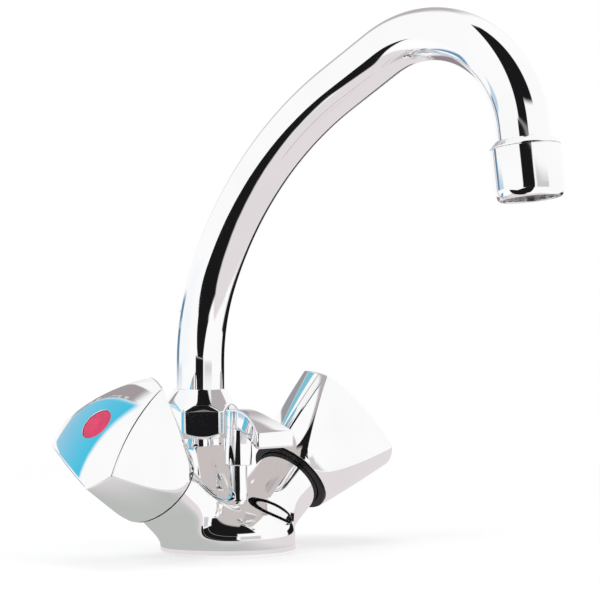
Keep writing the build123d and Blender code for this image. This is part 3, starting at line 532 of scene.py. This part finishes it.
def knob_width(reach):
    """Width from above: round over the boss, then a fan that opens in a hollow curve to the tip."""
    chord = 2 * np.sqrt(np.maximum(BOSS_RADIUS**2 - reach**2, 0))
    fan = through(np.minimum(reach, TIP), [2.45, 12.5, TIP], [NARROWEST, 11.4, 17.2])
    fan = np.where(reach > 0, np.maximum(fan, NARROWEST), 0)
    gap = chord - fan
    return (chord + fan + np.sqrt(gap**2 + 0.6**2)) / 2


# %% Lofted knob
def knob_section(reach, width, low, high, soft, steps=7):
    """A rectangle with rounded corners across the lever: at every corner a quarter circle whose
    centre is in from both sides by its radius, and straight runs of points between them."""
    turn = np.radians(np.linspace(0, 90, steps))
    quarter = np.stack([np.cos(turn), np.sin(turn)], 1)
    turned = [quarter, quarter[::-1] * [-1, 1], -quarter, quarter[::-1] * [1, -1]]
    signs = np.repeat([(1, 1), (-1, 1), (-1, -1), (1, -1)], steps, 0)
    arcs = np.concatenate(turned)
    half_width, half_height, middle = width / 2, (high - low) / 2, (high + low) / 2
    across = signs[:, 0] * (half_width - soft) + arcs[:, 0] * soft
    upward = middle + signs[:, 1] * (half_height - soft) + arcs[:, 1] * soft
    return np.stack([across, np.broadcast_to(ROD_Y - reach, across.shape), upward], -1)


back = -BOSS_RADIUS * np.cos(np.radians(np.linspace(4, 90, 16)))
tip = TIP + 1.6 * np.sin(np.radians(np.linspace(0, 90, 8)))
reach = np.concatenate([back, np.linspace(0.6, 18.2, 30), tip])[:, None]
past = np.clip((reach - 19.3) / 0.8, 0, 1)
shrink = 0.8 * (1 - np.sqrt(1 - past**2))
stations = knob_section(
    reach,
    width=knob_width(reach) - 2 * shrink,
    low=knob_under(reach) + shrink,
    high=knob_top(reach) - shrink,
    soft=np.minimum(0.8, 0.3 * knob_width(reach)) - 0.9 * shrink * 0.8,
)
ends = stations[:1], stations[-1:]
poles = [np.broadcast_to(end.mean(1, keepdims=True), end.shape) for end in ends]
lever = np.concatenate([poles[0], stations, poles[1]]) * MM
lift_knob = grid_piece("lift_knob_cast", lever, ring=False)
boss_profile = [
    (0, 40.2, 0), (3.23, 40.2, 0), (3.23, 31.3, 0.1),
    (BOSS_RADIUS, 31.3, 0.35), (BOSS_RADIUS, 47.0, 0), (0, 47.0, 0),
]
knob_boss = turned_piece("knob_boss_turned", rod, boss_profile)
for piece in (lift_knob, knob_boss):
    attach(piece, "lift")
    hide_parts("lift_knob")
    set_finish(piece, "chrome")

# %% [markdown]
# ## The body casting
#
# The body is one casting: a domed foot, two arms in a single bend, and the neck, run together
# with soft hollows. No grid with two parameters can carry a form that branches, so this piece is
# made another way. It is a level surface: every form gives its distance, a soft minimum joins
# them, and the skin is where the joined distance is zero. Blender's metaballs do the same, but
# can't take these exact forms.

# %% Distances to the forms of the body
BASE_RADIUS = 24.25
WALL_HEIGHT = 6.0
DOME_HEIGHT = 13.0
BEND = 30.0
NECK_RADIUS = 8.8
NECK_LOW, NECK_HIGH = 5, 51
SLOPE_TOP = 37.0
SLOPE_RADIUS = 8.4
SLOPE_SPREAD = 0.29
FOOT_BLEND, NECK_BLEND = 9.0, 5.0


def soft_least(a, b, blend):
    """The smaller of two distances, with a hollow where they are alike: the smaller one less
    blend/6 times the cube of (1 - difference / blend)."""
    alike = np.maximum(blend - np.abs(a - b), 0) / blend
    return np.minimum(a, b) - alike**3 * blend / 6


def foot_distance(x, y, z):
    """Distance to the foot: a cylinder, with half an ellipsoid on top. For the ellipsoid it is
    k (k - 1) / g, with k the point's size in units of the half axes and g that of its slope."""
    rise = np.maximum(z - WALL_HEIGHT, 0)
    k = np.sqrt((x**2 + y**2) / BASE_RADIUS**2 + (rise / DOME_HEIGHT) ** 2)
    slope = np.sqrt((x**2 + y**2) / BASE_RADIUS**4 + (rise / DOME_HEIGHT**2) ** 2)
    return k * (k - 1) / np.maximum(slope, 1e-9)


def arms_distance(x, y, z):
    """Distance to the bent arms: beside the bend's centre, the distance to its circle; past its
    ends, the distance to the straight arm's line."""
    centre = ARM_Z + BEND / np.cos(ARM_RISE)
    along = np.abs(x) * np.cos(ARM_RISE) + (z - ARM_Z) * np.sin(ARM_RISE)
    off = -np.abs(x) * np.sin(ARM_RISE) + (z - ARM_Z) * np.cos(ARM_RISE)
    bent = BEND - np.sqrt(x**2 + (z - centre) ** 2)
    beside = along < BEND * np.tan(ARM_RISE)
    tube = np.sqrt(np.where(beside & (z < centre), bent, off) ** 2 + (y - ARM_Y) ** 2) - ARM_RADIUS
    return np.maximum(tube, along - ARM_END - 2)


def body_distance(x, y, z):
    """The joined distance of foot, arms and neck. The neck's slope is a cone that leans forwards:
    it widens by as much as its centre moves to the front, so that its back stays upright."""
    below = SLOPE_TOP - z
    widen = SLOPE_SPREAD * (below + np.sqrt(below**2 + 4)) / 2
    slope_distance = np.sqrt(x**2 + (y - NECK_Y + widen) ** 2) - SLOPE_RADIUS - widen
    neck_distance = np.sqrt(x**2 + (y - NECK_Y) ** 2) - NECK_RADIUS
    neck_distance = np.minimum(neck_distance, slope_distance)
    neck_distance = np.maximum(neck_distance, np.maximum(NECK_LOW - z, z - NECK_HIGH))
    joined = soft_least(arms_distance(x, y, z), foot_distance(x, y, z), FOOT_BLEND)
    return np.maximum(soft_least(joined, neck_distance, NECK_BLEND), -2 - z)


# %% The level surface
def level_surface(distance, low, high, step):
    """Points and faces where a distance is zero. Each cell of a lattice that the surface passes
    gets one point, the mean of the places where its edges cross zero; each crossed edge gets a
    face from the four cells round it."""
    axes = [np.arange(a, b + step, step) for a, b in zip(low, high)]
    value = distance(*np.meshgrid(*axes, indexing="ij", sparse=True))
    cells = tuple(n - 1 for n in value.shape)
    total, count = np.zeros(cells + (3,)), np.zeros(cells)
    crossed = []
    for axis in range(3):
        start = value.take(range(cells[axis]), axis)
        end = value.take(range(1, cells[axis] + 1), axis)
        crossing = (start < 0) != (end < 0)
        edge = np.argwhere(crossing)
        share = start[crossing] / (start[crossing] - end[crossing])
        point = edge.astype(float)
        point[:, axis] += share
        others = [a for a in range(3) if a != axis]
        ring = []
        for shift in ((0, 0), (-1, 0), (-1, -1), (0, -1)):
            cell = edge.copy()
            cell[:, others] += shift
            good = ((cell >= 0) & (cell < cells)).all(1)
            np.add.at(total, tuple(cell[good].T), point[good])
            np.add.at(count, tuple(cell[good].T), 1)
            ring.append(np.where(good[:, None], cell, -1))
        crossed.append((np.stack(ring, 1), (start[crossing] < 0) == (axis != 1)))
    number = np.full(cells, -1)
    number[count > 0] = np.arange((count > 0).sum())
    points = np.array(low) + step * total[count > 0] / count[count > 0][:, None]
    faces = []
    for ring, forward in crossed:
        whole = (ring >= 0).all((1, 2))
        face = number[tuple(ring[whole].transpose(2, 0, 1))]
        faces.append(np.where(forward[whole][:, None], face, face[:, ::-1]))
    return points, np.concatenate(faces)


def slope_of(distance, points, step=0.02):
    """The direction in which a distance grows, from its difference over a short step each way."""
    changes = [distance(*(points + s).T) - distance(*(points - s).T) for s in np.eye(3) * step]
    return np.stack(changes, 1) / (2 * step)


def on_surface(distance, points, rounds=4):
    """Points brought onto the zero surface: each round moves them along the slope, by
    distance / slope squared."""
    for _ in range(rounds):
        slope = slope_of(distance, points)
        points = points - (distance(*points.T) / (slope**2).sum(1))[:, None] * slope
    return points


lattice_step = 0.6
body_points, body_quads = level_surface(body_distance, (-47, -27, -4), (47, 27, 53), lattice_step)
body_points = on_surface(body_distance, body_points)
print("body skin:", len(body_points), "points")
body = new_piece("body_cast", body_points * MM, body_quads, np.zeros((0, 3), int))


# %% Cuts in the casting
def cutter(name, place, corners):
    """A turned form that will be taken out of the casting."""
    piece = turned_piece(name, place, corners, columns=72)
    piece.hide_render = piece.hide_viewport = True
    return piece


def bar(low, *steps):
    """The profile of a round bar in steps: from a height on, each (radius, height of its end)."""
    profile = [(0, low, 0)]
    for radius, high in steps:
        profile += [(radius, profile[-1][1], 0), (radius, high, 0)]
    return [*profile, (0, high, 0)]


base = spot((0, 0, 0), UP, (1, 0, 0))
stud = spot((0, 13 * MM, 0), UP, (1, 0, 0))
gasket_groove = [(19.37, -1, 0), (22.63, -1, 0), (22.63, 2, 0), (19.37, 2, 0)]
cut_forms = {
    "below": (base, bar(-20, (60, 0))),
    "rod": (rod, bar(-1, (3.26, 60))),
    "bush": (rod, bar(-1, (4.58, 15.5))),
    "above": (neck, bar(49.6, (30, 60))),
    "neck": (neck, bar(10.5, (5.5, 38.3), (7.05, 55))),
    "stud": (stud, bar(-1, (3.32, 8))),
    "gasket": (base, gasket_groove),
}
for name, side in SIDES.items():
    inlet = spot((side * 13 * MM, ARM_Y * MM, 0), UP, (1, 0, 0))
    cut_forms[f"{name}_inlet"] = (inlet, bar(-1, (4.46, 8)))
    cut_forms[f"{name}_end"] = (arms[name], bar(ARM_END, (40, 90)))
    cut_forms[f"{name}_chamber"] = (arms[name], bar(14.5, (3.5, 24), (8.25, 60)))
cuts = [cutter(f"cut_{name}", *form) for name, form in cut_forms.items()]
print(len(cuts), "cuts")

# %% [markdown]
# The cuts are Boolean differences, worked out one after the other by the exact solver. Then the
# casting gets the normals of its formula: a mirror shows the smallest waver in a mesh's own.
# Faces that a cut has made keep their own direction, so that the bores have crisp mouths.


# %% Cut the casting and give it true normals
def apply_cuts(piece, cutters):
    """Takes each cutter out of a piece and leaves the result as its plain mesh."""
    for form in cutters:
        cut = piece.modifiers.new(form.name, "BOOLEAN")
        cut.operation, cut.solver, cut.object = "DIFFERENCE", "EXACT", form
    evaluated = piece.evaluated_get(bpy.context.evaluated_depsgraph_get())
    mesh = bpy.data.meshes.new_from_object(evaluated)
    piece.modifiers.clear()
    piece.data = mesh
    for form in cutters:
        bpy.data.objects.remove(form)


def read(values, key, width, kind=float):
    """An attribute of a mesh's points, corners or faces as an array."""
    flat = np.zeros(len(values) * width, kind)
    values.foreach_get(key, flat)
    return flat.reshape(-1, width) if width > 1 else flat


def formula_normals(mesh, distance):
    """Sets the normals of all face corners that lie on the formula's surface to its slope, and
    gives their share of all corners. Corners of a cut's own faces keep the face's normal."""
    points = read(mesh.vertices, "co", 3) / MM
    corner_point = read(mesh.loops, "vertex_index", 1, int)
    sizes = read(mesh.polygons, "loop_total", 1, int)
    face_normal = np.repeat(read(mesh.polygons, "normal", 3), sizes, 0)
    slope = unit(slope_of(distance, points))[corner_point]
    near = (np.abs(distance(*points.T)) < 0.05)[corner_point]
    skin_corner = near & ((slope * face_normal).sum(1) > 0.8)
    mesh.normals_split_custom_set(np.where(skin_corner[:, None], slope, face_normal))
    return skin_corner.mean()


apply_cuts(body, cuts)
body.data.shade_smooth()
on_formula = formula_normals(body.data, body_distance)
print("casting:", len(body.data.vertices), "points,", f"{on_formula:.0%} formula normals")
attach(body, "body")
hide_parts("body_casting")
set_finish(body, "chrome")

# %% [markdown]
# A narrow rim runs round the very bottom of the foot, where the casting is turned true to the
# basin. It is its own small ring here, because the level surface is too coarse for its edges.

# %% Base rim
rim_profile = [(24.0, 0, 0), (24.6, 0, 0.12), (24.6, 1.4, 0.3), (24.2, 1.5, 0.05), (24.0, 1.5, 0)]
rim = turned_piece("base_rim_turned", base, rim_profile, columns=180)
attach(rim, "body")
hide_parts("body_casting")
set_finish(rim, "chrome")

# %% [markdown]
# ## The camera
#
# The photograph's view was solved from the tap's outlines: the camera stands 0.78 m away, at half
# the tap's height, and looks nearly level. Its long lens keeps the upright lines almost parallel.

# %% Camera
FOCAL_LENGTH, PHOTO_WIDTH = 2160.4, 600  # in pixels
SENSOR = 36
CAMERA_PLACE = np.array([-520.8, -586.0, 88.4])
bpy.context.scene.view_settings.view_transform = "Standard"
camera_data = bpy.data.cameras.new("camera")
camera_data.sensor_width = SENSOR
camera_data.lens = FOCAL_LENGTH / PHOTO_WIDTH * SENSOR
camera_data.clip_start = 0.01
camera_data.clip_end = 20
camera = put("camera", camera_data)
bpy.context.scene.camera = camera
azimuth, elevation = np.radians(46.47), np.radians(0.18)
away = np.array([np.cos(azimuth), np.sin(azimuth), 0]) * np.cos(elevation)
look = away + UP * np.sin(elevation)
right = np.array([np.sin(azimuth), -np.cos(azimuth), 0])
upward = np.cross(right, look)
placed = np.eye(4)
placed[:3, :3] = np.stack([right, upward, -look], 1)
placed[:3, 3] = CAMERA_PLACE * MM
camera.matrix_world = Matrix(placed.tolist())
print("camera", CAMERA_PLACE, "mm, lens", round(camera_data.lens, 1))

# %% [markdown]
# ## Finishes
#
# Chrome is nearly a perfect mirror. A single colour and roughness would look like plastic foil,
# so three things vary a little over its surface: the roughness, where fingers and cloths have
# been, the colour, and the flatness, because cast brass under chrome is never quite even. Each
# follows noise on Object coordinates, so that it stays with the piece.


# %% Node helpers
def feed(tree, node, inputs):
    """Gives a node its inputs, each a value or another node's output."""
    for name, value in inputs.items():
        if isinstance(value, bpy.types.NodeSocket):
            tree.links.new(value, node.inputs[name])
        else:
            node.inputs[name].default_value = value


def made(tree, kind, inputs=(), **settings):
    """The outputs of a new node with its settings and inputs."""
    node = tree.nodes.new("ShaderNode" + kind)
    for name, value in settings.items():
        setattr(node, name, value)
    feed(tree, node, dict(inputs))
    return node.outputs


def new_material(name):
    """A new material and its node tree."""
    material = bpy.data.materials.new(name)
    material.use_nodes = True
    return material, material.node_tree


def noise(tree, scale, detail):
    """Noise on Object coordinates. scale is in waves per metre."""
    inputs = {"Vector": made(tree, "TexCoord")["Object"], "Scale": scale, "Detail": detail}
    return made(tree, "TexNoise", inputs)["Fac"]


def spread(tree, value, low, high, out_low, out_high, steps="LINEAR"):
    """A value's range from low to high carried over to another range, and held there."""
    ends = {"From Min": low, "From Max": high, "To Min": out_low, "To Max": out_high}
    return made(tree, "MapRange", {"Value": value, **ends}, interpolation_type=steps)["Result"]


def blend_colours(tree, share, first, second):
    """A colour between two, by a share from 0 to 1."""
    inputs = {"Factor": share, "A": (*first, 1), "B": (*second, 1)}
    return made(tree, "Mix", inputs, data_type="RGBA")["Result"]


def relief(tree, height, strength, distance):
    """Small unevenness: the normal of a surface that leans as a height map says."""
    inputs = {"Height": height, "Strength": strength, "Distance": distance}
    return made(tree, "Bump", inputs)["Normal"]


def calculated(tree, operation, first, second):
    """A calculation with two values."""
    return made(tree, "Math", {0: first, 1: second}, operation=operation)[0]


def mixed(tree, share, first, second):
    """Two shaders mixed by a share: 0 gives the first, 1 the second."""
    return made(tree, "MixShader", {0: share, 1: first, 2: second})[0]


def seen(tree):
    """1 for rays from the camera, from a mirror and through clear material, 0 for all others,
    which carry light."""
    rays = made(tree, "LightPath")
    share = calculated(tree, "MAXIMUM", rays["Is Camera Ray"], rays["Is Glossy Ray"])
    return calculated(tree, "MAXIMUM", share, rays["Is Transmission Ray"])


NOISE_RANGE = 0.35, 0.65  # where most of the noise lies


def finish(name, colours, roughness, metallic, colour_scale, rough_scale, fine, shine=0.5):
    """A finish whose colour drifts between two colours and whose roughness drifts between two
    values, each with a noise of its own. fine is (scale, strength, distance) of its relief."""
    material, tree = new_material(name)
    drift = spread(tree, noise(tree, colour_scale, 4), *NOISE_RANGE, 0, 1)
    wear = spread(tree, noise(tree, rough_scale, 5), *NOISE_RANGE, *roughness)
    scale, strength, distance = fine
    feed(tree, tree.nodes["Principled BSDF"], {
        "Base Color": blend_colours(tree, drift, *colours),
        "Roughness": wear,
        "Metallic": metallic,
        "Specular IOR Level": shine,
        "Normal": relief(tree, noise(tree, scale, 2), strength, distance),
    })
    return material


# %% Metals, plastics and rubber
colours = {
    "chrome": [(0.97, 0.97, 0.975), (0.94, 0.94, 0.945)],
    "brass": [(0.78, 0.56, 0.25), (0.66, 0.44, 0.18)],
    "steel": [(0.3, 0.28, 0.28), (0.2, 0.18, 0.18)],
    "black_plastic": [(0.004, 0.004, 0.0045), (0.007, 0.0065, 0.0065)],
    "white_plastic": [(0.8, 0.79, 0.76), (0.72, 0.71, 0.68)],
    "grey_plastic": [(0.05, 0.038, 0.04), (0.03, 0.022, 0.024)],
    "red_plastic": [(0.62, 0.03, 0.09), (0.52, 0.022, 0.07)],
    "blue_plastic": [(0.02, 0.09, 0.5), (0.015, 0.07, 0.42)],
    "rubber": [(0.02, 0.02, 0.02), (0.035, 0.034, 0.033)],
}
# Roughness, metallic, scales of the colour and the roughness, fine relief, and shine if it's low
surfaces = {
    "chrome": ((0.015, 0.045), 1.0, 40, 180, (45, 0.12, 0.0004)),
    "brass": ((0.22, 0.4), 1.0, 400, 900, (2500, 0.2, 0.00005)),
    "steel": ((0.25, 0.4), 1.0, 500, 1200, (3000, 0.2, 0.00004)),
    "black_plastic": ((0.3, 0.38), 0.0, 120, 60, (900, 0.02, 0.00001), 0.12),
    "white_plastic": ((0.35, 0.5), 0.0, 300, 900, (1500, 0.2, 0.00005)),
    "grey_plastic": ((0.35, 0.5), 0.0, 500, 900, (1500, 0.2, 0.00005)),
    "red_plastic": ((0.12, 0.25), 0.0, 250, 700, (1200, 0.1, 0.00004)),
    "blue_plastic": ((0.12, 0.25), 0.0, 250, 700, (1200, 0.1, 0.00004)),
    "rubber": ((0.6, 0.8), 0.0, 400, 700, (1600, 0.4, 0.00008)),
}
finishes = {name: finish(name, colours[name], *surface) for name, surface in surfaces.items()}
print("finishes:", ", ".join(finishes))

# %% Every piece and every CAD node gets its finish
node_slots = {part["node"]: part["material_slot"] for part in frame["record"]["subparts"]}
for node, obj in frame["nodes"].items():
    obj.data.materials.clear()
    obj.data.materials.append(finishes[node_slots[node]])
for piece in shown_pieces():
    if "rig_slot" in piece:
        piece.data.materials.clear()
        piece.data.materials.append(finishes[piece["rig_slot"]])
print(len(node_slots), "nodes have a slot")

# %% [markdown]
# ## Studio
#
# Chrome shows the room. Photographers build the room to suit: white all round, and a few cards of
# black, grey and blue paper that draw the dark and coloured bands. Here the room is white, and the
# dark and coloured bands are painted reflections: glowing sheets of black, grey and blue that only
# mirrors see, so they neither hide the tap from any side nor tint its shadow. The floor and the
# room are pale. Both look brighter to the camera and to mirrors than they shine on the tap, so that
# a white surface renders white and not washed out.

# %% Room
ROOM_LIGHT = 0.55
world = bpy.data.worlds.new("room")
bpy.context.scene.world = world
world.use_nodes = True
room = world.node_tree
room.nodes.clear()
dim = made(room, "Background", {"Strength": ROOM_LIGHT})[0]
white = made(room, "Background", {"Color": (1, 1, 1, 1)})[0]
made(room, "OutputWorld", {"Surface": mixed(room, seen(room), dim, white)})

# %% Floor
FLOOR_RADIUS = 6.0
rings = np.linspace(0, 1, 24)[:, None] ** 2 * FLOOR_RADIUS
disc = around(base, rings, np.linspace(0, 2 * np.pi, 128, endpoint=False), 0.0)
number = np.arange(disc.shape[0] * disc.shape[1]).reshape(disc.shape[:2])
low, high = number[:-1], number[1:]
quads = np.stack([low, np.roll(low, -1, 1), np.roll(high, -1, 1), high], -1)
mesh = bpy.data.meshes.new("floor")
floor_faces = quads[1:].reshape(-1, 4).tolist() + quads[0][:, 1:].tolist()
mesh.from_pydata(disc.reshape(-1, 3), [], floor_faces)
floor = put("floor", mesh)

# %% The floor's paper glows more, the farther it is from the tap
GLOW_PLACES, GLOW_SHARES = (0.08, 0.5), (0.62, 1.0)
paper, tree = new_material("floor_paper")
shader = tree.nodes["Principled BSDF"]
feed(tree, shader, {"Base Color": (0.82, 0.82, 0.82, 1), "Roughness": 0.9})
from_tap = made(tree, "TexCoord")["Object"]
how_far = made(tree, "VectorMath", {0: from_tap}, operation="LENGTH")["Value"]
fade = spread(tree, how_far, *GLOW_PLACES, *GLOW_SHARES)
share = calculated(tree, "MULTIPLY", seen(tree), fade)
either = mixed(tree, share, shader.outputs[0], made(tree, "Emission")[0])
feed(tree, tree.nodes["Material Output"], {"Surface": either})
floor.data.materials.append(paper)

# %% [markdown]
# ## Painted reflections
#
# Each of these is a painted reflection: a sheet that glows with its own colour though it is no
# lamp, and that only mirrors see. It could be lit by lamps, as a card in a real studio, but a glow
# keeps its colour exact. The far ones are bent to a ball round the tap, and others lie beside it on
# the floor. A few hang close above the arms, the nut and the knob, inside the tap's own space,
# because what a flat facet mirrors changes with every millimetre. Those are one-sided: clear from
# behind, so that mirrors on their other side see past them.

# %% Glow of the painted reflections
TAP_MIDDLE = np.array([0, 0, 0.08])


def direction(sideways, upwards):
    """A direction seen from the tap: degrees to the left of the camera's view line, and degrees
    up."""
    turn, rise = azimuth + np.radians(sideways), np.radians(upwards)
    return np.array([np.cos(turn) * np.cos(rise), np.sin(turn) * np.cos(rise), np.sin(rise)])


def reflection_glow(name, colours, soft, one_sided):
    """The glow of a painted reflection, in its own colour from the first at one end to the second
    at the other, fading out towards its edges over a share of its size. A one-sided one is clear
    from behind."""
    material, tree = new_material(name)
    tree.nodes.clear()
    parts = made(tree, "SeparateXYZ", {0: made(tree, "UVMap")[0]})
    shares = []
    for axis in ("X", "Y"):
        for edge, full in ((0, soft), (1, 1 - soft)):
            shares.append(spread(tree, parts[axis], edge, full, 0, 1, "SMOOTHSTEP"))
    if one_sided:
        shares.append(spread(tree, made(tree, "NewGeometry")["Backfacing"], 0, 1, 1, 0))
    total = shares[0]
    for share in shares[1:]:
        total = calculated(tree, "MULTIPLY", total, share)
    glow = made(tree, "Emission", {"Color": blend_colours(tree, parts["Y"], *colours)})[0]
    clear = made(tree, "BsdfTransparent")[0]
    made(tree, "OutputMaterial", {"Surface": mixed(tree, total, clear, glow)})
    return material


def painted_reflection_sheet(name, points, colour, soft, one_sided=False):
    """A painted reflection from a grid of points: a sheet that glows in one colour or from one to
    another, and that only mirrors see.
    """
    rows, columns = points.shape[:2]
    number = np.arange(rows * columns).reshape(rows, columns)
    corners = [number[:-1, :-1], number[:-1, 1:], number[1:, 1:], number[1:, :-1]]
    mesh = bpy.data.meshes.new(name)
    mesh.from_pydata(points.reshape(-1, 3), [], np.stack(corners, -1).reshape(-1, 4).tolist())
    across, along = np.meshgrid(np.linspace(0, 1, columns), np.linspace(0, 1, rows))
    places = np.stack([across.ravel(), along.ravel()], 1)
    layer = mesh.uv_layers.new(name="UVMap")
    layer.data.foreach_set("uv", places[read(mesh.loops, "vertex_index", 1, int)].ravel())
    glow_sheet = put(name, mesh)
    colours = colour if isinstance(colour[0], tuple) else (colour, colour)
    mesh.materials.append(reflection_glow(name, colours, soft, one_sided))
    glow_sheet.visible_camera = glow_sheet.visible_diffuse = glow_sheet.visible_shadow = False
    glow_sheet.visible_transmission = glow_sheet.visible_volume_scatter = False


# %% Far painted reflections
def painted_reflection_on_ball(name, sideways, upwards, distance, colour, soft):
    """A painted reflection: a glowing sheet bent to a part of a ball round the tap, from one to
    another angle to the left of the camera's view line, and from one to another height angle."""
    turn, rise = np.meshgrid(np.linspace(*sideways, 33), np.linspace(*upwards, 17))
    points = TAP_MIDDLE + distance * np.moveaxis(direction(turn, rise), 0, -1)
    painted_reflection_sheet(name, points, colour, soft)


# Colours of the painted reflections: black, a pinkish and a pale grey.
BLACK, PINKISH, PALE = (0.01, 0.01, 0.011), (0.78, 0.73, 0.745), (0.62, 0.61, 0.62)
far_painted_reflections = {
    "card_black_high": ((165, 200), (13, 86), 1.0, BLACK, 0.06),
    "card_black_high_right": ((195, 236), (26, 86), 1.02, BLACK, 0.08),
    "card_black_low": ((160, 198), (-4.5, 16), 1.05, BLACK, 0.06),
    "card_behind": ((-25, 35), (3, 72), 1.2, (0.5, 0.46, 0.475), 0.3),
    "card_pale_right": ((-160, -118), (-4, 15), 1.1, PALE, 0.12),
    "card_black_thin": ((-52, -14), (-7, -1.5), 0.6, BLACK, 0.12),
    "card_blue_edge": ((38, 68), (-4, 8), 0.9, (0.12, 0.24, 0.36), 0.2),
    "card_sky": ((60, 92), (-4, 4), 0.95, (0.5, 0.66, 0.78), 0.3),
}
for name, glow_sheet in far_painted_reflections.items():
    painted_reflection_on_ball(name, *glow_sheet)


# %% Near painted reflections, and painted reflections lying on the floor
def painted_reflection_flat(name, corners, colour, soft, one_sided=False):
    """A painted reflection between four corners, each given in metres to the right of the tap, away
    from the camera, and up. A point is the mean of the corners, weighted by its two shares of the
    way."""
    corners = np.array(corners, float)
    corners = corners[:, :1] * right + corners[:, 1:2] * away + corners[:, 2:] * UP
    u, v = np.meshgrid(np.linspace(0, 1, 17), np.linspace(0, 1, 17))
    weights = np.stack([(1 - u) * (1 - v), u * (1 - v), u * v, (1 - u) * v], -1)
    painted_reflection_sheet(name, weights @ corners, colour, soft, one_sided)


def level(height, *places):
    """Four corners at one height. Their front is their underside if they go round clockwise."""
    return [(*place, height) for place in places]


def upright(start, end, low, high):
    """Four corners of a card that stands between two places."""
    return [(*start, low), (*end, low), (*end, high), (*start, high)]


# The sheets over the knob and over the arms hang inside the tap's own space and paint reflections
# onto single facets and onto the body.
OVER_KNOB, OVER_ARMS = 0.088, 0.0405  # heights
# Colours of painted reflections: cyan, and a warm grey.
CYAN = (0.055, 0.56, 0.78), (0.4, 0.6, 0.76)
WARM = (0.58, 0.535, 0.52)
near_painted_reflections = {
    "card_dark_low": (upright((0.10, 0.28), (0.25, 0.15), 0.001, 0.065), BLACK, 0.1),
    "card_cyan_near": (
        level(OVER_KNOB, (-0.043, -0.036), (-0.185, -0.036), (-0.165, 0.14), (-0.117, 0.11)),
        CYAN, 0.05, True,
    ),
    "card_grey_near": (
        level(OVER_KNOB, (-0.036, -0.03), (-0.048, -0.033), (-0.125, 0.12), (-0.1, 0.12)),
        (0.38, 0.34, 0.35), 0.08, True,
    ),
    "card_white_near": (
        upright((-0.038, -0.012), (-0.038, 0.0165), 0.064, 0.11),
        (0.96, 0.98, 1.0), 0.1, True,
    ),
    "card_cyan_behind": (
        level(OVER_KNOB, (0.018, 0.022), (-0.032, 0.024), (-0.034, 0.034), (0.016, 0.032)),
        (0.22, 0.55, 0.66), 0.12, True,
    ),
    "card_grey_behind": (
        level(OVER_KNOB + 0.0003, (0.018, 0.031), (-0.034, 0.033), (-0.04, 0.07), (0.014, 0.07)),
        (0.33, 0.33, 0.36), 0.06, True,
    ),
    "card_over_knob": (
        level(OVER_KNOB, (0.05, -0.035), (0.012, -0.035), (0.012, 0.03), (0.05, 0.035)),
        (0.47, 0.43, 0.445), 0.12, True,
    ),
    "card_over_arms_left": (
        level(OVER_ARMS, (0.014, -0.035), (-0.015, -0.035), (-0.015, 0.045), (0.014, 0.045)),
        WARM, 0.06, True,
    ),
    "card_over_arms_right": (
        level(OVER_ARMS, (0.027, -0.03), (0.0205, -0.03), (0.0205, 0.008), (0.027, 0.008)),
        WARM, 0.1, True,
    ),
    "card_over_arms_back": (
        level(OVER_ARMS + 0.0004, (0.024, 0.0), (0.012, 0.0), (0.012, 0.045), (0.024, 0.045)),
        WARM, 0.08, True,
    ),
    "card_black_eye": (upright((-0.035, -0.072), (0.03, -0.085), 0.0005, 0.007), BLACK, 0.08),
    # These lie on the floor; they glow too, and only mirrors see them: painted reflections.
    "paper_black_near": (
        level(0.003, (-0.55, -0.25), (0.09, -0.12), (0.1, -0.42), (-0.42, -0.33)), BLACK, 0.04,
    ),
    "paper_black_far": (
        level(0.0035, (-0.2, -0.2), (0.1, -0.18), (0.32, -1.15), (-0.2, -1.15)), BLACK, 0.05,
    ),
    "paper_near_grey": (
        level(0.0025, (-0.1, -0.055), (0.06, -0.07), (0.02, 0.03), (-0.1, 0.06)),
        (0.5, 0.52, 0.5), 0.3,
    ),
    "paper_pinkish_near": (
        level(0.001, (-0.14, -0.18), (0.2, -0.14), (0.2, 0.02), (-0.06, 0.02)), PINKISH, 0.12,
    ),
    "paper_pinkish": (
        level(0.0015, (-0.04, -0.1), (0.16, -0.1), (0.28, 0.7), (0.08, 0.7)), PINKISH, 0.1,
    ),
    "paper_grey": (
        level(0.0015, (-0.12, 0.07), (0.02, 0.07), (0.16, 0.7), (-0.34, 0.7)),
        (0.3, 0.25, 0.28), 0.15,
    ),
    "paper_blue": (
        level(0.001, (-0.05, -0.01), (-0.04, 0.07), (-0.3, 0.25), (-0.42, 0.0)),
        (0.13, 0.3, 0.48), 0.25,
    ),
    "paper_dark_right": (
        level(0.001, (0.17, 0.1), (0.36, 0.1), (0.62, 0.66), (0.24, 0.66)),
        (0.02, 0.02, 0.02), 0.15,
    ),
}
for name, glow_sheet in near_painted_reflections.items():
    painted_reflection_flat(name, *glow_sheet)
print(len(far_painted_reflections), "far cards,", len(near_painted_reflections), "near cards and papers")


# %% Lamps
LAMP_DISTANCE, LAMP_SIZE = 1.2, 0.8


def soft_lamp(name, sideways, upwards, power):
    """A square area lamp that looks at the tap. Mirrors don't see it."""
    data = bpy.data.lights.new(name, "AREA")
    data.shape, data.size, data.energy = "SQUARE", LAMP_SIZE, power
    lamp = put(name, data)
    ray = direction(sideways, upwards)
    side = unit(np.cross(UP, ray))
    placed = np.eye(4)
    placed[:3, :3] = np.stack([side, np.cross(ray, side), ray], 1)
    placed[:3, 3] = TAP_MIDDLE + ray * LAMP_DISTANCE
    lamp.matrix_world = Matrix(placed.tolist())
    lamp.visible_glossy = False


soft_lamp("lamp_left", 115, 35, 9)
soft_lamp("lamp_right", -110, 40, 6)
soft_lamp("lamp_top", 20, 80, 7)
print("lamps:", ", ".join(light.name for light in bpy.data.lights))
